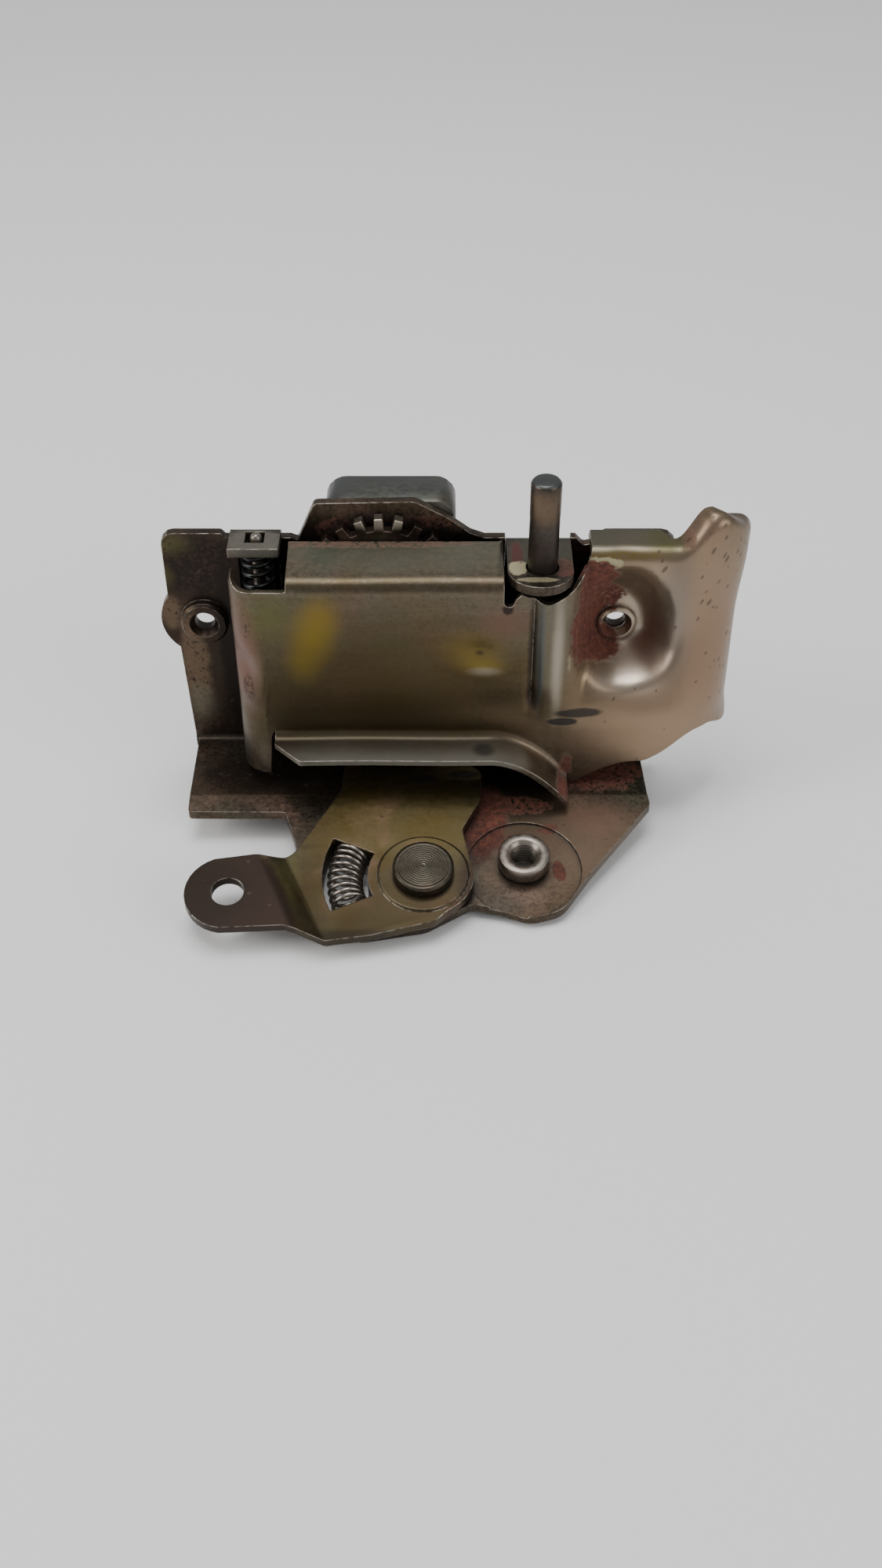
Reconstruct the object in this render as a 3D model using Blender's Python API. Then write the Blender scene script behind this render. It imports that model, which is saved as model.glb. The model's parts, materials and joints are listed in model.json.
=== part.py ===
"""Vehicle door latch mechanism of pressed sheet steel, as separate sub-parts at rest.

Sizes are in millimetres and are turned into Blender's metres by MM. All parts hang under one
empty, the datum: there Y = 0 is the front surface of the back plate, the viewer's side is -Y,
Z = 0 is the top of the shelf and X = 0 is the middle of the latch. The empty's own place puts
the world origin on the back plate's rear face, where the latch seats against the door.
"""

import math

import bmesh
import bpy
from mathutils import Matrix, Vector

MM = 0.001
GAP = 0.3  # clearance between touching pieces

# Driving dimensions
PLATE = 2.0  # sheet of the frame, the remote lever and the lock lever
COVER_SHEET = 1.2
SHELF_DEPTH = 19.4  # from the back plate to the bend of the lower plate
TILT = math.radians(10)  # how far the lower plate bends down
BOX_DEPTH = 16.2  # front face of the cover's left box
DATUM = (0.0, -PLATE, -12.0)

LEFT_HOLE = (-49.6, 32.0)  # X, Z of the mounting holes
RIGHT_HOLE = (36.6, 32.8)
SCREW_HOLE = 2.1  # radius
SCREW_MOUTH = 3.1  # radius where the holes open at the front
ROTOR = (-12.0, 42.0)  # X, Z of the rotor's axis
SHAFT = 4.0
RATCHET_FRONT, RATCHET_BACK = -2.9, -0.5
RATCHET_TEETH, RATCHET_TIP, RATCHET_ROOT = 24, 16.0, 13.3
RATCHET_TURN = 1.75  # degrees, so that the pawl's nose stands in a gap
STAR_FRONT, STAR_BACK = 3.7, 9.2
STAR_TEETH, STAR_TIP, STAR_ROOT = 8, 11.0, 6.6
PAWL_PIVOT = (-30.0, 22.0)
PAWL_PIN = 2.4
LOCK_PIN = 2.2
BEARING = 6.7
COUNTERSINK = 1.0  # depth of the flush rivet heads in the plate's rear
STUD = (-22.5, 7.5)
STUD_RADIUS = 1.9
SPRING_AXIS = (-37.0, -3.0)  # X, Y of the pawl's spring and its guide pin
TAB_TOP = 54.0
ROD_AXIS = (20.0, -10.6)
ROD = 3.0
ROD_TOP, ROD_BOTTOM = 71.4, 12.0
CROSS_PIN_HEIGHT = 15.0
LOCK_PIVOT = (43.0, 11.5)
LEVER_PIVOT = (-3.6, 23.5)  # X, distance along the lower plate from its bend
LEVER_LIFT = 1.5  # underside of the lever above the lower plate
LEVER_SHANK = 3.5
BUSH = (17.1, 18.1)
BUSH_OUTER, BUSH_BORE, BUSH_HEIGHT = 5.3, 2.6, 3.4
WINDOW_MEAN = 16.0  # radius of the return spring's curved axis about the lever's pivot


# ---------------------------------------------------------------- outlines

def arc(centre, radius, start_deg, end_deg, count=8):
    """Points along an arc, both ends included."""
    turn = [math.radians(start_deg + (end_deg - start_deg) * k / count) for k in range(count + 1)]
    return [(centre[0] + radius * math.cos(a), centre[1] + radius * math.sin(a)) for a in turn]


def ring_points(radius, count, centre=(0.0, 0.0)):
    """A full circle, without repeating its first point."""
    return arc(centre, radius, 0, 360, count)[:-1]


def rounded(corners, steps=4):
    """An outline whose corners (x, y) or (x, y, radius) are filleted with arcs."""
    outline = []
    for k, corner in enumerate(corners):
        here = Vector(corner[:2])
        if len(corner) < 3:
            outline.append(tuple(here))
            continue
        to_last = (Vector(corners[k - 1][:2]) - here).normalized()
        to_next = (Vector(corners[(k + 1) % len(corners)][:2]) - here).normalized()
        half = to_last.angle(to_next) / 2
        reach = corner[2] / math.tan(half)
        start, end = here + to_last * reach, here + to_next * reach
        centre = here + (to_last + to_next).normalized() * corner[2] / math.sin(half)
        for step in range(steps + 1):
            spoke = start.lerp(end, step / steps) - centre
            outline.append(tuple(centre + spoke.normalized() * corner[2]))
    return outline


def toothed(count, tip, root, tip_share, root_share, lean=0.0, turn_deg=0.0):
    """A toothed wheel's outline: each tooth a flat tip and a flat root, leaning by a share of the pitch."""
    pitch = 2 * math.pi / count
    outline = []
    for k in range(count):
        centre = math.radians(turn_deg) + k * pitch
        for share, radius in (
            (-tip_share / 2 + lean, tip),
            (tip_share / 2 + lean, tip),
            (0.5 - root_share / 2, root),
            (0.5 + root_share / 2, root),
        ):
            angle = centre + share * pitch
            outline.append((radius * math.cos(angle), radius * math.sin(angle)))
    return outline


# ---------------------------------------------------------------- meshes

def material(name, colour, roughness, metallic):
    made = bpy.data.materials.new(name)
    made.use_nodes = True
    shader = made.node_tree.nodes["Principled BSDF"]
    shader.inputs["Base Color"].default_value = (*colour, 1.0)
    shader.inputs["Roughness"].default_value = roughness
    shader.inputs["Metallic"].default_value = metallic
    return made


def finish(name, mesh, finish_of=None):
    """Puts a bmesh in millimetres into a named object under the datum. A piece with no finish is a cutter."""
    bmesh.ops.remove_doubles(mesh, verts=mesh.verts, dist=1e-5)
    bmesh.ops.recalc_face_normals(mesh, faces=mesh.faces)
    bmesh.ops.scale(mesh, vec=(MM, MM, MM), verts=mesh.verts)
    data = bpy.data.meshes.new(name)
    mesh.to_mesh(data)
    mesh.free()
    data.shade_smooth()
    data.set_sharp_from_angle(angle=math.radians(35))
    made = bpy.data.objects.new(name, data)
    bpy.context.collection.objects.link(made)
    made.parent = datum
    if finish_of is None:
        made.hide_render = True
        made.display_type = "WIRE"
    else:
        data.materials.append(finish_of)
    return made


def place(piece, location=(0.0, 0.0, 0.0), rotation=(0.0, 0.0, 0.0)):
    """Sets a piece's place under the datum, in millimetres and radians."""
    piece.location = Vector(location) * MM
    piece.rotation_euler = rotation
    return piece


def prism_mesh(outline, low, high, plane="XY"):
    """An extruded outline. Plane XY runs along Z, XZ along Y and YZ along X."""
    lift = {
        "XY": lambda p, d: (p[0], p[1], d),
        "XZ": lambda p, d: (p[0], d, p[1]),
        "YZ": lambda p, d: (d, p[0], p[1]),
    }[plane]
    mesh = bmesh.new()
    rings = [[mesh.verts.new(lift(p, d)) for p in outline] for d in (low, high)]
    for ring in rings:
        mesh.faces.new(ring)
    for k in range(len(outline)):
        nxt = (k + 1) % len(outline)
        mesh.faces.new((rings[0][k], rings[0][nxt], rings[1][nxt], rings[1][k]))
    return mesh


def prism(name, outline, low, high, plane="XY", look=None):
    return finish(name, prism_mesh(outline, low, high, plane), look)


def turned(name, profile, look=None, sides=32, along="Z"):
    """A turned piece from (radius, height) points. A profile that starts or ends off the axis is a ring."""
    mesh = bmesh.new()
    loops = []
    for radius, height in profile:
        if radius < 1e-6:
            loops.append([mesh.verts.new((0, 0, height))] * sides)
            continue
        spot = [(radius * math.cos(a), radius * math.sin(a), height)
                for a in (2 * math.pi * k / sides for k in range(sides))]
        loops.append([mesh.verts.new(p) for p in spot])
    is_ring = profile[0][0] > 1e-6
    pairs = list(zip(loops, loops[1:])) + ([(loops[-1], loops[0])] if is_ring else [])
    for one, two in pairs:
        for k in range(sides):
            corners = [one[k], one[(k + 1) % sides], two[(k + 1) % sides], two[k]]
            distinct = list(dict.fromkeys(corners))
            if len(distinct) > 2:
                mesh.faces.new(distinct)
    if along == "Y":
        bmesh.ops.rotate(mesh, verts=mesh.verts, matrix=Matrix.Rotation(math.radians(90), 3, "X"))
    return finish(name, mesh, look)


def tube(name, points, radius, look, sides=2):
    """A round wire along a path, as a bevelled curve with filled caps."""
    curve = bpy.data.curves.new(name, "CURVE")
    curve.dimensions = "3D"
    curve.bevel_depth = radius * MM
    curve.bevel_resolution = sides
    curve.use_fill_caps = True
    spline = curve.splines.new("POLY")
    spline.points.add(len(points) - 1)
    for spot, place_of in zip(spline.points, points):
        spot.co = (*(Vector(place_of) * MM), 1.0)
    made = bpy.data.objects.new(name, curve)
    bpy.context.collection.objects.link(made)
    made.parent = datum
    curve.materials.append(look)
    return made


def boolean(piece, cutter, operation="DIFFERENCE"):
    """Cuts, joins or trims a piece with a cutter that shares its parent."""
    modifier = piece.modifiers.new(f"{operation.lower()} {cutter.name}", "BOOLEAN")
    modifier.operation = operation
    modifier.solver = "EXACT"
    modifier.object = cutter
    return piece


def bore(piece, name, centre, radius, low, high, plane="XZ", sides=24):
    """A round hole through a piece that lies in the datum's own axes."""
    return boolean(piece, prism(name, ring_points(radius, sides, centre), low, high, plane))


def open_mouth(piece, name, centre, base, front):
    """Widens a screw hole towards the viewer, from its own radius to that of its mouth."""
    cone = turned(name, [(0.0, base), (SCREW_HOLE, base), (SCREW_MOUTH, front), (SCREW_MOUTH, front + 2.0),
                         (0.0, front + 2.0)], sides=24, along="Y")
    return boolean(piece, place(cone, (centre[0], 0.0, centre[1])))


def on_lower_plate(x, along, lift=0.0):
    """A point on the lower plate, a distance along it from its bend and above its top."""
    return (x,
            -SHELF_DEPTH - along * math.cos(TILT) - lift * math.sin(TILT),
            -along * math.sin(TILT) + lift * math.cos(TILT))


def tilted(piece, x, along, lift=0.0):
    """Stands a piece on the lower plate, its Z along the plate's normal."""
    return place(piece, on_lower_plate(x, along, lift), (TILT, 0, 0))


# ---------------------------------------------------------------- frame

def frame_outline():
    """The back plate seen from the front, with its left ear, upstand and relief behind the rod."""
    low = -30.0
    ear = arc(LEFT_HOLE, 9.2, 230, 141.5, 10)
    return rounded([
        (-54.6, low), (-54.6, 0.0), *ear, (-56.8, TAB_TOP - 1, 2.5), (-43.9, TAB_TOP - 1, 1.0),
        (-43.9, 52.0, 0.4), (-30.4, 52.0, 0.6), (-29.0, 51.4, 0.4), (-25.3, 59.9, 1.2), (-5.1, 60.3, 3.0),
        (1.2, 56.7, 3.0), (5.9, 53.1, 2.0), (8.8, 52.0), (13.0, 52.0), (13.0, 44.0), (26.2, 44.0),
        (26.2, 52.0), (27.2, 52.0), (28.8, 50.2, 1.0), (31.0, 50.8, 1.0), (33.0, 53.0, 1.0), (47.5, 53.0, 3.0),
        (49.0, low),
    ], steps=3)


def shelf_outline():
    """The shelf and the lower plate seen along their normal, in X and distance in front of the back plate."""
    edge = SHELF_DEPTH
    lower = [
        (-53.8, edge + 4.6, 0.8), (-33.2, edge + 4.8, 0.6), (-31.6, edge + 9.0, 3.0),
        (-30.0, edge + 14.5, 3.0), (-27.5, edge + 26.0, 4.0), (-17.5, edge + 36.0, 5.0),
        (-3.0, edge + 33.4, 6.0), (6.2, edge + 28.0, 2.5), (12.0, edge + 29.2, 5.0),
        (18.0, edge + 31.4, 6.0), (24.6, edge + 29.6, 6.0), (31.0, edge + 20.2, 3.0),
        (44.6, edge + 2.6, 0.8), (44.2, edge - 0.6, 0.6), (43.6, 0.4),
    ]
    start = [(60.0, 0.4), (60.0, -6.0), (-62.0, -6.0), (-62.0, 0.4), (-54.0, 0.4)]
    return [(x, -y) for x, y in rounded(start + lower, steps=4)]


def build_frame(look):
    end = on_lower_plate(0, 40.0)
    under = on_lower_plate(0, 40.0, -PLATE)
    bend_under = on_lower_plate(0, 0.0, -PLATE)
    section = rounded([
        (0.0, 66.0), (0.0, 0.0, 1.0), (-SHELF_DEPTH, 0.0, 4.0), end[1:], under[1:],
        (*bend_under[1:], 6.0), (PLATE, -PLATE, 3.0), (PLATE, 66.0),
    ])
    frame = prism("frame_plate", section, -62.0, 58.0, "YZ", look)
    boolean(frame, prism("frame_front_trim", frame_outline(), -70.0, 10.0, "XZ"), "INTERSECT")
    boolean(frame, prism("frame_top_trim", shelf_outline(), -40.0, 80.0, "XY"), "INTERSECT")

    tab = prism("tab_strip", rounded([(0, 46), (0, 52, 0.8), (-7.4, 52), (-7.4, TAB_TOP), (PLATE, TAB_TOP, 2.6),
                                      (PLATE, 46)]), -42.4, -32.3, "YZ")
    boolean(frame, tab, "UNION")
    tongue = prism("tongue_strip", rounded([(0, 41), (0, 50, 0.8), (-20, 50), (-20, 52), (PLATE, 52, 2.6),
                                            (PLATE, 41)]), 13.1, 26.1, "YZ")
    nose = [(13.0, 6.0), *arc((19.6, -11.4), 6.6, 180, 360, 12), (26.2, 6.0)]
    boolean(tongue, prism("tongue_nose_trim", nose, 30.0, 60.0, "XY"), "INTERSECT")
    boolean(frame, tongue, "UNION")
    collar = turned("ear_collar", [(0.0, -1.0), (5.0, -1.0), (5.0, 1.6), (4.5, 2.1), (0.0, 2.1)], sides=24, along="Y")
    boolean(frame, place(collar, (LEFT_HOLE[0], 0.0, LEFT_HOLE[1])), "UNION")

    bore(frame, "left_screw_hole", LEFT_HOLE, SCREW_HOLE, -6, 6)
    open_mouth(frame, "left_screw_mouth", LEFT_HOLE, 0.5, 2.1)
    bore(frame, "right_screw_hole", RIGHT_HOLE, SCREW_HOLE, -1, 6)
    for name, spot, radius, sides in (("rotor_hole", ROTOR, BEARING, 32), ("pawl_pin_hole", PAWL_PIVOT, PAWL_PIN, 24),
                                      ("lock_pin_hole", LOCK_PIVOT, LOCK_PIN, 24)):
        sink = turned(name, [(0.0, 1.0), (radius + GAP, 1.0), *flush_head(radius, GAP), (0.0, -PLATE - GAP)],
                      sides=sides, along="Y")
        boolean(frame, place(sink, (spot[0], 0.0, spot[1])))
    for side, spot in GUARD_RIVETS.items():
        bore(frame, f"guard_rivet_hole_{side}", spot, 3.0 + GAP, -1, 6, sides=16)
    bore(frame, "rod_hole", ROD_AXIS, ROD + GAP, 44, 60, "XY")
    spring_pocket = rounded([(-41.3, 24.0, 1.0), (-33.0, 24.0, 1.0), (-33.0, 51.0, 1.0), (-41.3, 51.0, 1.0)], 2)
    boolean(frame, prism("spring_pocket", spring_pocket, -1.0, 1.0, "XZ"))
    boolean(frame, prism("tab_slot", [(-39.2, -5.0), (-35.3, -5.0), (-35.3, -1.0), (-39.2, -1.0)], 48.0, 60.0, "XY"))

    bush_hole = prism("bush_hole", ring_points(4.3 + GAP, 24), -5, 5)
    boolean(frame, tilted(bush_hole, *BUSH))
    bush_pocket = prism("bush_pocket", ring_points(12.0, 40), -0.7, 1.6)
    boolean(frame, tilted(bush_pocket, BUSH[0], BUSH[1] + 1.5))
    shank_hole = prism("shank_hole", ring_points(LEVER_SHANK + GAP, 24), -5, 5)
    boolean(frame, tilted(shank_hole, *LEVER_PIVOT))
    boolean(frame, tilted(prism("plate_window", window_outline(), -5, 5), *LEVER_PIVOT))
    return frame


GUARD_RIVETS = {"left": (-20.0, 25.2), "right": (-0.5, 25.2)}


def build_guard(look):
    """The block over the star wheel: its cavity is open to the plate and to the striker's side."""
    outline = rounded([(-23.5, 22.3, 2.0), (3.0, 22.3, 2.0), (3.0, 59.2, 4.0), (-23.5, 59.2, 4.0)], 5)
    guard = prism("rotor_guard", outline, PLATE + GAP, 13.3, "XZ", look)
    bevel = guard.modifiers.new("rounded rim", "BEVEL")
    bevel.width = 1.4 * MM
    bevel.segments = 2
    bevel.limit_method = "ANGLE"
    bevel.angle_limit = math.radians(50)
    cavity = rounded([(-40, 29.6), (0.2, 29.6, 2.0), (0.2, 54.4, 2.0), (-40, 54.4)], 3)
    boolean(guard, prism("guard_cavity", cavity, -1.0, 10.6, "XZ"))
    striker = rounded([(-40, 31.0), (-18.4, 31.0, 2.0), (-18.4, 53.0, 2.0), (-40, 53.0)], 3)
    boolean(guard, prism("striker_opening", striker, -1.0, 20.0, "XZ"))
    boolean(guard, prism("guard_foot_step", [(-40, 10), (20, 10), (20, 28.6), (-40, 28.6)], 5.2, 20.0, "XZ"))
    bore(guard, "shaft_rear_hole", ROTOR, SHAFT + GAP, 0, 20)
    for side, spot in GUARD_RIVETS.items():
        bore(guard, f"guard_foot_hole_{side}", spot, 2.0 + GAP, 0, 20, sides=16)
    return guard


def build_guard_rivets(look):
    for side, (x, z) in GUARD_RIVETS.items():
        profile = [(0.0, -0.1), (3.0, -0.1), (2.0, -1.9), (2.0, -5.4), (3.2, -5.5), (2.8, -6.6), (0.0, -6.9)]
        rivet = turned(f"guard_rivet_{side}", profile, look, 16, "Y")
        place(rivet, (x, 0, z))


# ---------------------------------------------------------------- cover

def smooth(low, high, value):
    """0 below low, 1 above high, with an S between."""
    t = min(max((value - low) / (high - low), 0.0), 1.0)
    return t * t * (3 - 2 * t)


def mix(a, b, t):
    return a + (b - a) * t


RIDGE_X, RIDGE_REACH = 21.0, 8.0  # crest of the bulge round the rod, and its radius
CURL_START, CURL_END = 46.0, 62.6
CURL_BACK = 1.6  # the right end reaches this far behind the plate's front
LEFT_WALL, LEFT_CORNER = -42.3, 6.0
TOP_BEND = 3.0


def face_depth(x, z):
    """How far the cover's outer face stands in front of the back plate."""
    upper = smooth(17.0, 28.0, z)
    right = mix(15.6, 8.8, smooth(15.0, 40.0, z))
    ridge = BOX_DEPTH + 1.1 * upper * math.exp(-((x - RIDGE_X) / 2.2) ** 2)
    if x <= RIDGE_X:
        shoulder = ridge
    else:
        fall = math.sqrt(max(0.0, 1 - ((min(x, RIDGE_X + RIDGE_REACH) - RIDGE_X) / RIDGE_REACH) ** 2))
        shoulder = mix(mix(BOX_DEPTH, right, smooth(24, 40, x)), right + (ridge - right) * fall, upper)
    across = (x - RIGHT_HOLE[0]) / (12.0 if x > RIGHT_HOLE[0] else 9.5)
    above = (z - RIGHT_HOLE[1]) / (20.0 if z > RIGHT_HOLE[1] else 9.5)
    return mix(1.9, shoulder, smooth(0.34, 1.0, math.hypot(across, above)))


def cover_columns():
    """Stations across the cover: (x, how far round the left corner or the right curl in degrees)."""
    left = [(LEFT_WALL, "wall", 0.0)] + [(0.0, "corner", a) for a in (0, 22, 45, 68)]
    face = [-36.3, -35.0, -29.2, -25, -20, -14, -7, 0, 6, 10, 12.5, 15, 17, 18.6, 19.6, 20.4, 21, 22.6, 24.2, 25.8,
            27.2, 28.2, 29.0, 30.2, 31.8, 33.6, 35.2, 36.6, 38.2, 40.0, 42.0, 44.0]
    right = [(0.0, "curl", a) for a in (0, 15, 30, 45, 60, 75, 90)]
    return left + [(x, "face", 0.0) for x in face] + right


def plan_point(column, z):
    """(x, y, outward normal) of a column's outer surface at a height."""
    x, kind, degrees = column
    turn = math.radians(degrees)
    if kind == "wall":
        return x, -GAP, (-1.0, 0.0)
    if kind == "corner":
        centre = LEFT_WALL + LEFT_CORNER
        return (centre - LEFT_CORNER * math.cos(turn), -(BOX_DEPTH - LEFT_CORNER) - LEFT_CORNER * math.sin(turn),
                (-math.cos(turn), -math.sin(turn)))
    if kind == "face":
        return x, -face_depth(x, z), (0.0, -1.0)
    depth = face_depth(CURL_START, z)
    return (CURL_START + (CURL_END - CURL_START) * math.sin(turn),
            CURL_BACK - (depth + CURL_BACK) * math.cos(turn), (math.sin(turn), -math.cos(turn)))


def bottom_height(x):
    """The lower edge of the cover: the left leg, the flange's straight run, its arc and the right free edge."""
    if x < -36.0:
        return 3.5
    if x < 28.0:
        return 13.5 - 13.0 * (max(0.0, x - 10.0) / 18.0) ** 2
    rise = 5.7 * math.sin(min(1.0, (x - 28.0) / 14.0) * math.pi / 2)
    return 0.5 + rise + 7.0 * smooth(42.0, 54.0, x) - 4.6 * smooth(56.0, CURL_END, x)


def top_height(x):
    """The upper face: the left box, the recessed right part, and the raised lip of the right end."""
    return mix(51.8, 54.2, smooth(14, 28, x)) + 6.6 * smooth(47.0, 55.0, x) - 4.0 * smooth(56.0, CURL_END, x)


def has_flange(column):
    return column[1] == "face" and -35.1 <= column[0] <= 27.3


def flange_reach(x):
    """How far the bottom flange stands out: its left end is cut on the slant."""
    return mix(2.0, 8.3, min(1.0, (x + 35.0) / 5.8))


FACE_ROWS = [0.0, 0.07, 0.16, 0.26, 0.34, 0.41, 0.48, 0.55, 0.62, 0.69, 0.76, 0.84, 0.92, 1.0]
BEND_ROWS = [30, 60, 90]


def build_cover(look):
    mesh = bmesh.new()
    grid = []
    for column in cover_columns():
        x_mid = plan_point(column, 30.0)[0]
        low, high = bottom_height(x_mid), top_height(x_mid) - TOP_BEND
        flanged = has_flange(column)
        strip = []
        if flanged:
            x, y, _ = plan_point(column, low)
            strip = [(x, y - flange_reach(x), low), (x, y - 1.4, low), (x, y - 0.4, low + 0.4)]
        first = low + (1.4 if flanged else 0.0)
        for share in FACE_ROWS:
            z = mix(first, high, share)
            x, y, _ = plan_point(column, z)
            strip.append((x, y, z))
        x, y, normal = plan_point(column, high)
        for degrees in BEND_ROWS:
            turn = math.radians(degrees)
            inward = TOP_BEND * (1 - math.cos(turn))
            strip.append((x - normal[0] * inward, y - normal[1] * inward, high + TOP_BEND * math.sin(turn)))
        back = -3.4 if x < 12.0 else -GAP
        reach = (back - y) if column[1] == "face" else 5.2
        rise = 1.6 if x < 12.0 else 0.0
        for share in (0.5, 1.0):
            inward = mix(TOP_BEND, reach, share)
            strip.append((x - normal[0] * inward, y - normal[1] * inward, high + TOP_BEND + rise * share))
        verts = [mesh.verts.new(p) for p in strip]
        grid.append(verts if flanged else [None] * 3 + verts)
    for one, two in zip(grid, grid[1:]):
        for k in range(len(one) - 1):
            corners = [one[k], two[k], two[k + 1], one[k + 1]]
            if None not in corners:
                mesh.faces.new(corners)
    cover = finish("cover", mesh, look)
    thickness = cover.modifiers.new("sheet", "SOLIDIFY")
    thickness.thickness = COVER_SHEET * MM
    thickness.offset = -1.0
    thickness.use_even_offset = True

    lip = turned("cover_hole_lip", [(0.0, 1.0), (4.2, 1.0), (4.2, 2.5), (3.8, 3.0), (0.0, 3.0)], sides=24, along="Y")
    boolean(cover, place(lip, (RIGHT_HOLE[0], 0.0, RIGHT_HOLE[1])), "UNION")
    bore(cover, "cover_screw_hole", RIGHT_HOLE, SCREW_HOLE, -12, 4)
    open_mouth(cover, "cover_screw_mouth", RIGHT_HOLE, 1.2, 3.0)
    spring_notch = rounded([(-50, 49.6), (-41.0, 49.0, 3.0), (-37.5, 49.4, 2.0), (-31.0, 49.4, 1.0), (-30.5, 49.8),
                            (-30.5, 70), (-50, 70)], 4)
    boolean(cover, prism("spring_notch", spring_notch, -40, 5, "XZ"))
    rod_notch = rounded([(12.4, 70), (12.4, 46.2, 0.9), (14.4, 46.2, 0.9), (14.8, 47.8, 0.4), (29.6, 48.6, 1.0),
                         (29.9, 70)], 4)
    boolean(cover, prism("rod_notch", rod_notch, -40, 5, "XZ"))
    collar_scallop = rounded([(3, 27.0), (-8.6, 27.0, 4.0), (-8.6, 60), (3, 60)], 5)
    boolean(cover, prism("collar_scallop", collar_scallop, -50, -38.5, "YZ"))
    return cover


# ---------------------------------------------------------------- remote lever

def window_outline(inner=11.4, outer=20.6, half_deg=29.0, corner=1.5):
    """The curved window of the return spring, centred on the lever's pivot, on its left side."""
    outer_arc = arc((0, 0), outer, 180 - half_deg + 3, 180 + half_deg - 3, 8)
    inner_arc = arc((0, 0), inner, 180 + half_deg - corner, 180 - half_deg + corner, 6)
    return outer_arc + inner_arc


def lever_outline():
    """The lever seen along its pivot, whose axis is the origin. +Y is towards the back plate."""
    eye = arc((-39.2, -5.6), 8.7, 112, 262, 14)
    lobe = arc((0.6, 0.0), 9.8, -62, 24, 10)
    return rounded([
        (-16.8, 33.0, 1.0), (-17.4, 22.0, 5.0), (-23.4, 11.0, 4.0), (-27.4, 3.9, 4.0), (-34.5, 3.7, 2.0), *eye,
        (-27.6, -13.6, 3.0), (-19.6, -16.2, 2.0), (-10.5, -14.9, 6.0), (2.5, -11.4, 3.0), *lobe,
        (8.0, 11.6, 3.0), (11.8, 19.2, 4.0), (12.4, 27.0, 3.0), (6.0, 31.5, 3.0), (-9.0, 33.0, 2.0),
    ], 4)


def build_remote_lever(look):
    """A flat blade whose arm is joggled up, with a finger turned up at its inner end."""
    mesh = prism_mesh(lever_outline(), 0.0, PLATE)
    joggle = 1.8
    along = Vector((9.0, -19.7, 0.0)).normalized()
    across = Vector((along.y, -along.x, 0.0))
    outer_fold, inner_fold = Vector((-33.6, 3.7, 0.0)), Vector((-28.2, 3.8, 0.0))
    for spot in (outer_fold, inner_fold):
        everything = mesh.verts[:] + mesh.edges[:] + mesh.faces[:]
        bmesh.ops.bisect_plane(mesh, geom=everything, plane_co=spot, plane_no=across, dist=1e-4)
    inside = inner_fold.dot(across)
    width = outer_fold.dot(across) - inside
    for vert in mesh.verts:
        share = (vert.co.dot(across) - inside) / width
        vert.co.z += joggle * min(max(share, 0.0), 1.0)
    lever = finish("remote_lever", mesh, look)
    parts = [
        prism("lever_finger", [(-16.7, 29.2), (-13.7, 29.2), (-13.7, 32.6), (-16.7, 32.6)], 0.4, 6.6),
        turned("lever_boss", [(0.0, 1.0), (9.4, 1.0), (9.4, 2.2), (9.0, 2.5), (0.0, 2.5)], sides=40),
    ]
    for part in parts:
        boolean(lever, tilted(part, *LEVER_PIVOT, LEVER_LIFT), "UNION")
    cuts = [
        prism("lever_eye_hole", ring_points(3.3, 32, (-39.2, -5.6)), -5, 9),
        prism("lever_shank_hole", ring_points(LEVER_SHANK + GAP, 32), -5, 9),
        prism("lever_window", window_outline(), -5, 9),
    ]
    for cut in cuts:
        boolean(lever, tilted(cut, *LEVER_PIVOT, LEVER_LIFT))
    return tilted(lever, *LEVER_PIVOT, LEVER_LIFT)


def build_lever_pivot(rivet_look, washer_look):
    base = -LEVER_LIFT - PLATE - GAP
    rivet = turned("lever_pivot_rivet", [
        (0.0, 5.2), (4.6, 5.1), (5.7, 4.8), (6.2, 4.2), (6.2, 2.8), (LEVER_SHANK, 2.8), (LEVER_SHANK, base),
        (5.6, base), (5.2, base - 1.2), (0.0, base - 1.5)], rivet_look, 40)
    tilted(rivet, *LEVER_PIVOT, LEVER_LIFT)
    washer = turned("lever_washer", [(LEVER_SHANK + GAP, -0.3), (LEVER_SHANK + GAP, -1.2), (8.0, -1.2), (8.0, -0.3)],
                    washer_look, 32)
    tilted(washer, *LEVER_PIVOT, LEVER_LIFT)


def build_return_spring(look):
    """A coil bent round the lever's pivot, lying in the windows of the lever and the lower plate."""
    turns, per_turn, coil, half = 10, 12, 3.3, math.radians(24.0)
    points = []
    for k in range(turns * per_turn + 1):
        share = k / (turns * per_turn)
        bend = math.pi - half + 2 * half * share
        wind = 2 * math.pi * turns * share
        radius = WINDOW_MEAN + coil * math.cos(wind)
        points.append((radius * math.cos(bend), radius * math.sin(bend), coil * math.sin(wind)))
    return tilted(tube("lever_return_spring", points, 0.4, look, 1), *LEVER_PIVOT, 1.1)


def build_threaded_bush(look):
    low = -PLATE
    bush = turned("threaded_bush", [
        (BUSH_BORE + 0.5, BUSH_HEIGHT), (BUSH_OUTER - 0.5, BUSH_HEIGHT), (BUSH_OUTER, BUSH_HEIGHT - 0.5),
        (BUSH_OUTER, GAP), (4.3, GAP - 0.1), (4.3, low - 0.3), (5.6, low - 0.4), (5.2, low - 1.2),
        (BUSH_BORE, low - 1.2), (BUSH_BORE, BUSH_HEIGHT - 0.6)], look, 40)
    return tilted(bush, *BUSH)


# ---------------------------------------------------------------- pawl and its spring

def flush_head(radius, margin=0.0):
    """Profile points of a pin's rear end, spread into the plate's countersink; margin gives the countersink itself."""
    return [(radius + margin, COUNTERSINK - PLATE), (radius + COUNTERSINK + margin * 2, -PLATE - margin)]


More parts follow.
